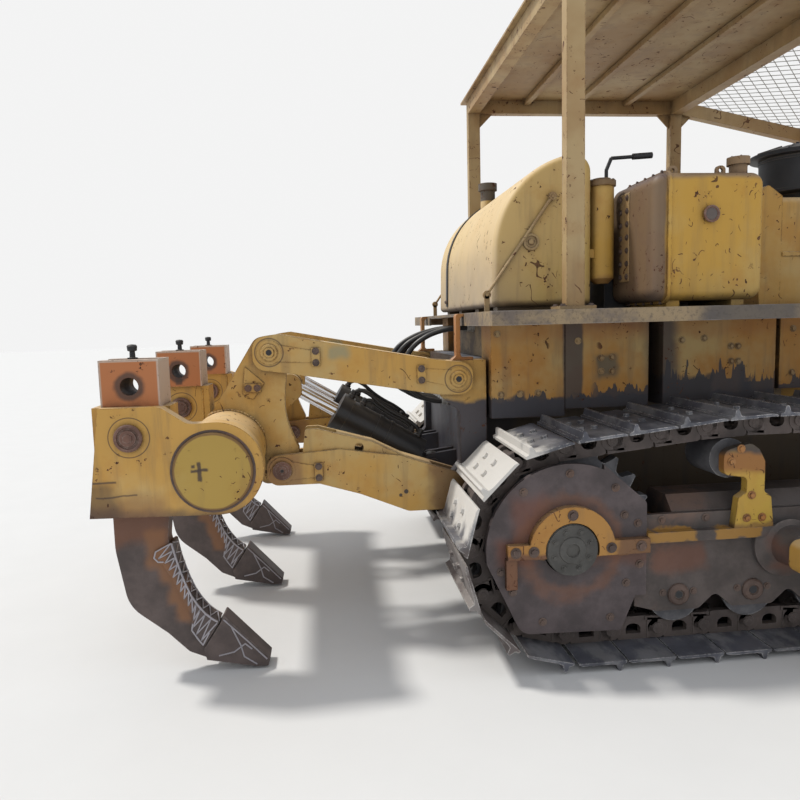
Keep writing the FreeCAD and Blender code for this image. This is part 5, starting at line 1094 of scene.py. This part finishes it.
class DOZER_OT_side_bolts(bpy.types.Operator):
    """Bolts on the boxes under the decks, the guards, the caps, the rollers' ends and the arms' pins"""
    bl_idname = "dozer.side_bolts"
    bl_label = "Side bolts"

    # Outer faces of the track frame, the axle's end, the carrier brackets, the push arm and the nose's housing
    FRAME_FACE, AXLE_FACE, BRACKET_FACE, ARM_FACE, NOSE_FACE = 1149, 1205, 1190, 1465, 728
    # Bolts in groups on one plane: name, finish, plane, bolt radius, places as (X, Z)
    GROUPS = (
        ("support_bolts", "canopy_paint", 680, 11,
         ((333, 1282), (389, 1285), (334, 1218), (389, 1216), (1003, 1321), (1040, 1320), (1005, 1246), (1042, 1245),
          (217, 1368), (746, 1358), (861, 1364), (-183, 1412), (-166, 1119), (17, 1122), (-73, 1120), (1330, 1400),
          (1330, 1180), (1700, 1400), (1700, 1180))),
        ("cap_bolts", "rusty_plate", 1212, 15, ((-168, 512), (168, 512), (300, 512), (-245, 512), (0, 660))),
        ("guard_bolts", "rusty_plate", 1174, 12,
         ((-300, 420), (-250, 330), (-120, 190), (180, 190), (250, 340), (310, 420), (240, 640), (300, 600),
          (-200, 760), (0, 830), (200, 760))),
        ("frame_bolts", "rusty_plate", FRAME_FACE, 12,
         ((420, 600), (620, 600), (1100, 600), (1300, 600), (1560, 600), (1760, 600), (2240, 600), (2400, 560),
          (2700, 560), (2700, 430), (2900, 560), (2900, 430))),
    )
    # Shafts of the six bottom rollers and the idler: X, Z, share of a roller's size
    SHAFTS = (*[(500 + 345 * k, 250, 1) for k in range(6)], (2830, 492, 1.5))
    # Carrier brackets' clamp bolts: X from the carrier roller's, Z
    CLAMP_BOLTS = ((6, 905), (-36, 850), (60, 700), (40, 600), (110, 600))

    def execute(self, context):
        for name, finish, plane, radius, places in self.GROUPS:
            with pieces(**{name: finish}) as (shape,):
                for side in SIDES:
                    for x, z in places:
                        shape.bolt(at(x, side * plane, z), outward(side), radius, radius * 0.85)
        self.shaft_ends()
        self.hub_ends()
        self.arm_pins()
        return {"FINISHED"}

    def shaft_ends(self):
        """Caps with two bolts over the rollers' and the idler's shafts, with black discs in their hollows as painted
        shade.
        """
        with pieces(shaft_caps="rusty_plate", shaft_cap_holes="black_paint") as (caps, holes):
            for side in SIDES:
                out = outward(side)
                for x, z, size in self.SHAFTS:
                    start = at(x, side * self.FRAME_FACE, z + 12)
                    caps.lathe([(0, 0), (0, 50 * size), (10, 48 * size), (16, 40 * size), (16, 24 * size),
                                (8, 20 * size), (8, 0)], start, out, 24)
                    # Black discs in the caps' hollows: painted shade
                    holes.stub(start, out, 7.5, 9.5, 18 * size, segments=14)
                    for shift in (-70, 70):
                        caps.bolt(at(x + shift * size, side * self.FRAME_FACE, z + 22), out, 11, 9)

    def bolt_ring(self, shape, centre, out, turns, ring, lift, radius, height):
        """Bolts round a centre on an outer face."""
        for turn in turns:
            spoke = Vector((math.cos(turn), 0, math.sin(turn)))
            shape.bolt(centre + spoke * (ring / 1000) + out * (lift / 1000), out, radius, height)

    def hub_ends(self):
        """Bolted covers on the axle ends, and the carrier brackets' clamp bolts."""
        with pieces(hub_covers="hub_paint", bracket_bolts="orange_rust_paint") as (hubs, clamps):
            for side in SIDES:
                out = outward(side)
                start = at(0, side * self.AXLE_FACE, 509)
                hubs.lathe([(0, 0), (0, 108), (4, 108), (4, 60), (10, 56), (12, 30), (4, 26), (4, 0)], start, out, 36)
                self.bolt_ring(hubs, start, out, around(8, 20), 83, 4, 9, 8)
                for x, _ in CARRIERS:
                    for shift, z in self.CLAMP_BOLTS:
                        clamps.bolt(at(x + shift, side * self.BRACKET_FACE, z), out, 12, 10)

    def arm_pins(self):
        """Bolted caps where the push arms turn, and heads on the lift cylinders' pins."""
        with pieces(arm_pin_caps="rusty_plate", lift_pin_heads="rusty_plate") as (caps, heads), \
                pieces("blade", lift_eye_caps="rusty_plate") as (eyes,):
            for side in SIDES:
                out = outward(side)
                start = at(985, side * self.ARM_FACE, 470)
                caps.lathe([(0, 0), (0, 72), (6, 72), (10, 64), (10, 0)], start, out)
                self.bolt_ring(caps, start, out, around(4, 45), 44, 10, 10, 9)
                heads.lathe([(0, 0), (0, 48), (8, 46), (8, 20), (3, 18), (3, 0)],
                            at(3120, side * self.NOSE_FACE, 1930), out, 28)
                for face, sign in ((678, 1), (522, -1)):
                    eyes.lathe([(0, 0), (0, 44), (10, 42), (10, 18), (4, 16), (4, 0)],
                               at(3985, side * face, 520), out * sign, 28)


class DOZER_OT_nose_details(bpy.types.Operator):
    """Bolts on the nose and the cutting edge, lamp lenses, rain flap, louvres and latches"""
    bl_idname = "dozer.nose_details"
    bl_label = "Nose details"

    # Middles of the exhaust stack and the air intake, as (X, Y)
    STACK = (2330, 170)
    INTAKE = (1800, 0)
    # The side covers' outer face, and the height where their upper edge meets the hood
    COVER_FACE, SEAM_Z = 440, 1776

    def execute(self, context):
        with pieces(nose_bolts="canopy_paint") as (nose,), pieces("blade", edge_bolts="rusty_plate") as (edge,):
            for side in SIDES:
                for z in range(640, 2040, 170):
                    nose.bolt(at(3310, side * 452, z), AHEAD, 12, 10)
                for x in range(3110, 3310, 60):
                    for z in (1020, 640):
                        nose.bolt(at(x, side * 480, z), outward(side), 12, 10)
            normal = Vector((190, 0, 60)).normalized()
            for y in range(-1700, 1702, 179):
                edge.stub(at(4464, y, 126), normal, 0, 6, 17, 14)
        self.lamps()
        self.stack()
        self.intake()
        self.covers()
        return {"FINISHED"}

    def lamps(self):
        with pieces(lamp_rims="black_paint", lamp_lenses="lamp") as (rims, lenses):
            for y in (-330, 330):
                front = at(3240, y, 2165)
                rims.lathe([(-20, 75), (8, 77), (12, 72), (6, 66), (-4, 66), (-20, 75)], front, AHEAD, 36)
                lenses.lathe([(-2, 0), (-2, 67), (4, 62), (10, 45), (13, 20), (14, 0)], front, AHEAD, 36)

    def stack(self):
        """Rain flap on its hinge and counterweight rod, and bands round the muffler."""
        with pieces(rain_flap="rusty_plate", muffler_bands="rusty_plate") as (flap, bands):
            top = at(*self.STACK, 2620)
            tilt = Vector((-0.42, 0, 0.91)).normalized()
            flap.lathe([(0, 0), (0, 56), (4, 56), (6, 20), (6, 0)], top + Vector((0.004, 0, 0.026)), tilt, 28)
            hinge = top + Vector((0.050, 0, 0.004))
            flap.stub(hinge, outward(1), -22, 22, 6, segments=10)
            flap.rod([hinge, hinge + Vector((0.034, 0, -0.020)), hinge + Vector((0.036, 0, -0.046))], 6)
            flap.band(top - Vector((0, 0, 0.012)), UP, 6, 49, 53, 32)
            for z in (2140, 2405):
                bands.band(at(*self.STACK, z), UP, 10, 98, 103, 36)

    def intake(self):
        """Bands, wing nut and ribs of the air intake's bowl."""
        with pieces(precleaner_bands="black_paint") as (cleaner,):
            for z, radius in ((2182, 205), (2360, 208)):
                cleaner.band(at(*self.INTAKE, z), UP, 7, 198, radius, 48)
            cleaner.lathe([(0, 0), (0, 30), (8, 30), (10, 10), (26, 10), (28, 0)], at(*self.INTAKE, 2446), UP, 20)
            foot = at(*self.INTAKE, 2400)
            for turn in around(8):
                spoke = Vector((math.cos(turn), math.sin(turn), 0))
                cleaner.rod([foot + spoke * 0.246, foot + spoke * 0.100 + Vector((0, 0, 0.045))], 6, 6)

    def covers(self):
        """Louvre blades in the side covers' slots, seam strips, handles and latches."""
        face, seam = self.COVER_FACE, self.SEAM_Z
        with pieces(louvre_blades="faded_ochre_paint", cover_strips="faded_ochre_paint",
                    cover_handles="canopy_paint") as (blades, strips, handles):
            for side in SIDES:
                for x in range(2050, 2950, 150):
                    for z in range(1275, 1640, 40):
                        blades.block(at(x - 2, side * 431, z), at(x + 62, side * 439, z + 16), 2)
                strips.block(at(1420, side * face, seam), at(3076, side * 446, seam + 24), 2)
                for x in (1980, 2990):
                    strips.block(at(x - 12, side * face, 975), at(x + 12, side * 445, seam), 2)
                for x in (1560, 1860, 2500, 2900):
                    handles.block(at(x - 22, side * face, 1760), at(x + 22, side * 454, 1830), 4)
                    handles.cylinder(at(x - 16, side * 458, 1780), at(x + 16, side * 458, 1780), 6, segments=10)
                # A grip on the cover and a rail on the hood
                handles.rod([at(x, side * y, 1420) for x, y in ((1640, face), (1640, 478), (1820, 478), (1820, face))],
                            9, 10)
                handles.rod([at(x, side * 360, z) for x, z in ((1600, 2087), (1600, 2122), (2900, 2122), (2900, 2087))],
                            10, 10)


class DOZER_OT_operator_place(bpy.types.Operator):
    """Cushions on the seat, dials on the cowl and knobs on the levers"""
    bl_idname = "dozer.operator_place"
    bl_label = "Operator's place"

    # Name, lowest corner, highest corner, tilt about Y in degrees
    PADS = (("seat_cushion", (402, -258, 1782), (898, 258, 1884), -2),
            ("seat_back", (322, -238, 1850), (398, 238, 2325), 8))
    DIALS_Y = (-300, -180, -60, 60, 180, 300)
    LEVERS = ((600, -525, 1985), (700, -525, 1974), (760, -490, 1968))

    def execute(self, context):
        self.seat_frame()
        for name, low, high, tilt in self.PADS:
            self.pad(name, low, high, tilt)
        self.dials()
        return {"FINISHED"}

    def seat_frame(self):
        base = Shape()
        base.block(at(482, -218, 1515), at(818, 218, 1780), 12)
        base.block(at(420, -240, 1768), at(880, 240, 1784), 4)
        for side in SIDES:
            base.rod([at(x, side * 262, z) for x, z in ((420, 1790), (360, 1990), (420, 2010), (760, 1995))], 11, 10)
            base.block(at(470, side * 245, 1998), at(760, side * 290, 2030), 12)
            base.rod([at(396, side * 200, 1784), at(330, side * 200, 2250)], 12, 10)
        piece = base.become("seat_frame", "black_paint", "root")
        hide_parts("operator_seat")

    def pad(self, name, low, high, tilt):
        """Crowned pad: its sides pull in between the corners, and seams run across its face."""
        shape = Shape()
        low, high = at(*low), at(*high)
        shape.block(low, high)
        bmesh.ops.subdivide_edges(shape.bm, edges=shape.bm.edges[:], cuts=11, use_grid_fill=True)
        centre, half = (low + high) / 2, (high - low) / 2
        thin = min(range(3), key=lambda axis: half[axis])
        wide = [axis for axis in range(3) if axis != thin]
        turn = Matrix.Rotation(math.radians(tilt), 3, "Y")
        for vert in shape.bm.verts:
            share = [(vert.co[axis] - centre[axis]) / half[axis] for axis in range(3)]
            a, b = (share[axis] for axis in wide)
            crown = max(0.0, (1 - a * a) * (1 - b * b))
            offset = Vector(vert.co - centre)
            offset[thin] *= 0.72 + 0.42 * crown ** 0.5
            for axis, other in ((wide[0], b), (wide[1], a)):
                offset[axis] *= 0.955 + 0.045 * other * other - 0.03 * abs(share[thin]) ** 3
            channel = min(abs(a - seam) for seam in (-0.5, 0.0, 0.5))
            if abs(share[thin]) > 0.9:
                offset[thin] *= 1 - 0.10 * math.exp(-(channel / 0.05) ** 2)
            vert.co = centre + turn @ offset
        piece = shape.become(name, "black_vinyl", "root", smooth_angle=60)
        smooth = piece.modifiers.new("soft", "SUBSURF")
        smooth.levels = smooth.render_levels = 2

    def dials(self):
        out = Vector((-0.8, 0, 0.6))
        with pieces(dial_bezels="black_paint", dial_faces="dial_white", dial_needles="black_paint",
                    console_knobs="black_vinyl") as (bezels, faces, needles, knobs):
            for y, turn in zip(self.DIALS_Y, range(30, 281, 50)):
                centre = at(1305, y, 2116)
                bezels.lathe([(0, 36), (0, 48), (10, 46), (10, 38), (4, 36), (0, 36)], centre, out)
                faces.lathe([(0, 0), (0, 37), (2, 37), (2, 0)], centre, out)
                turn = math.radians(turn)
                pointer = Vector((0, 1, 0)) * math.cos(turn) + Vector((0.6, 0, 0.8)) * math.sin(turn)
                needles.rod([centre + out * 0.004, centre + out * 0.004 + pointer * 0.028], 1.5, 6)
            for x, y, z in self.LEVERS:
                knobs.rod([at(x, y, z - 10), at(x + 12, y, z + 74)], 6)
                knobs.lathe([(0, 0), (4, 14), (16, 20), (28, 14), (32, 0)], at(x + 12, y, z + 72), UP, 18)


class DOZER_OT_canopy_details(bpy.types.Operator):
    """Gussets and foot bolts on the posts, and ribs under the roof"""
    bl_idname = "dozer.canopy_details"
    bl_label = "Canopy details"

    POST_Y = 990
    # Posts' X, and the directions along X of their gussets
    POSTS = ((80, (1,)), (1545, (-1, 1)))
    GUSSET = ((0, 0), (95, 0), (80, 14), (14, 80), (0, 95))

    def execute(self, context):
        with pieces(canopy_gussets="canopy_paint", post_bolts="rusty_plate") as (gussets, bolts):
            for x, leans in self.POSTS:
                for side in SIDES:
                    y = side * self.POST_Y
                    for lean in leans:
                        def place(a, b, c, corner=at(x + lean * 40, y, 2902), lean=lean):
                            return corner + Vector((lean * a / 1000, c / 1000, -b / 1000))
                        gussets.plate(self.GUSSET, -5, 5, place)
                    for dx in (-62, 62):
                        for dy in (-48, 48):
                            bolts.bolt(at(x + dx, y + dy, 1531), UP, 11, 10)
            for x in (450, 810, 1170):
                gussets.block(at(x - 20, -958, 2956), at(x + 20, 958, 2989), 3)
        return {"FINISHED"}


class DOZER_OT_hose_ends(bpy.types.Operator):
    """Crimped collars and nuts on the hoses and pipes, and clamps across them"""
    bl_idname = "dozer.hose_ends"
    bl_label = "Hose ends"

    HOSES_Y = (-152, -88, -16, 64, 140)
    # A ripper cylinder's line: its foot, its rod's eye, and its distance from the machine's middle
    FOOT, EYE, CYLINDER_Y = (-453, 729), (-1190, 1171), 300
    # Pipe ends on a ripper cylinder: shift across, distance along the line, height over it
    PORTS = ((16, 552, 100), (16, 140, 90), (-16, 477, 90), (-16, 183, 90))

    def execute(self, context):
        with pieces(hose_collars="mesh_steel") as (collars,):
            for y in self.HOSES_Y:
                for x, z in ((-180, 1442), (-330, 1040)):
                    self.collar(collars, at(x, y, z), -AHEAD, 14)
        foot = Vector(self.FOOT)
        axis = (Vector(self.EYE) - foot).normalized()
        up = Vector((axis.y, -axis.x))
        with pieces("ripper_barrels", pipe_collars="cylinder_black") as (ports,):
            for side in SIDES:
                for shift, along, rise in self.PORTS:
                    spot = foot + axis * along + up * rise
                    self.collar(ports, at(spot.x, side * (self.CYLINDER_Y + shift), spot.y),
                                Vector((up.x, 0, up.y)), 11)
                for along in (290, 360):
                    spot = foot + axis * along
                    ports.band(at(spot.x, side * self.CYLINDER_Y, spot.y), Vector((axis.x, 0, axis.y)),
                               9, 89.5, 94, 40)
        return {"FINISHED"}

    def collar(self, shape, start, direction, radius):
        shape.lathe([(0, 0), (0, radius * 1.7), (12, radius * 1.7), (14, radius * 1.35), (36, radius * 1.35),
                     (40, radius * 1.05), (40, 0)], start, direction, 12)


class DOZER_OT_visor_mesh(bpy.types.Operator):
    """Expanded metal sheet on the canopy's sloping front"""
    bl_idname = "dozer.visor_mesh"
    bl_label = "Visor mesh"

    # Width and length of a mesh opening, in metres, and how far the sheet lies inside its CAD node's box
    ACROSS, ALONG = 0.085, 0.045
    INSET = 0.003

    def execute(self, context):
        low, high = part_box("visor_mesh")
        length, width = high.x - low.x, high.y - low.y
        columns, rows = 2 * int(width / self.ACROSS), int(length / self.ALONG)
        slope = (high.z - low.z - 2 * self.INSET) / length

        def spot(i, j):
            x = low.x + length * j / rows
            return Vector((x, low.y + width * i / columns, high.z - self.INSET - (x - low.x) * slope))

        shape = Shape()
        for j in range(rows):
            for i in range(j % 2, columns, 2):
                for step in (-1, 1):
                    if 0 <= i + step <= columns:
                        shape.cylinder(spot(i, j), spot(i + step, j + 1), 2.5, segments=4, caps=False)
        for a, b in (((0, 0), (columns, 0)), ((0, rows), (columns, rows)), ((0, 0), (0, rows)),
                     ((columns, 0), (columns, rows))):
            shape.cylinder(spot(*a), spot(*b), 5, segments=6)
        piece = shape.become("visor_sheet", "mesh_steel", "root")
        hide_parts("visor_mesh")
        return {"FINISHED"}


class DOZER_PT_panel(bpy.types.Panel):
    bl_label = "Crawler bulldozer"
    bl_idname = "DOZER_PT_panel"
    bl_space_type = "VIEW_3D"
    bl_region_type = "UI"
    bl_category = "Bulldozer"

    def draw(self, context):
        for settings in (context.scene.dozer_paint, context.scene.dozer_stage):
            for key in settings.__annotations__:
                self.layout.prop(settings, key)
        for operator in OPERATORS:
            self.layout.operator(operator.bl_idname)


OPERATORS = (DOZER_OT_stage, DOZER_OT_finish_nodes, DOZER_OT_tracks, DOZER_OT_ripper_pins, DOZER_OT_beam_ends,
             DOZER_OT_welds, DOZER_OT_tank_details, DOZER_OT_side_bolts, DOZER_OT_nose_details,
             DOZER_OT_operator_place, DOZER_OT_canopy_details, DOZER_OT_hose_ends, DOZER_OT_visor_mesh)
SETTINGS = (("dozer_paint", PaintSettings), ("dozer_stage", StageSettings))


def register():
    for name, group in SETTINGS:
        bpy.utils.register_class(group)
        setattr(bpy.types.Scene, name, bpy.props.PointerProperty(type=group))
    for kind in (*OPERATORS, DOZER_PT_panel):
        bpy.utils.register_class(kind)


def unregister():
    for kind in (DOZER_PT_panel, *reversed(OPERATORS)):
        bpy.utils.unregister_class(kind)
    for name, group in reversed(SETTINGS):
        delattr(bpy.types.Scene, name)
        bpy.utils.unregister_class(group)


def main():
    register()
    for operator in OPERATORS:
        group, name = operator.bl_idname.split(".")
        getattr(getattr(bpy.ops, group), name)()


if __name__ == "__main__":
    main()
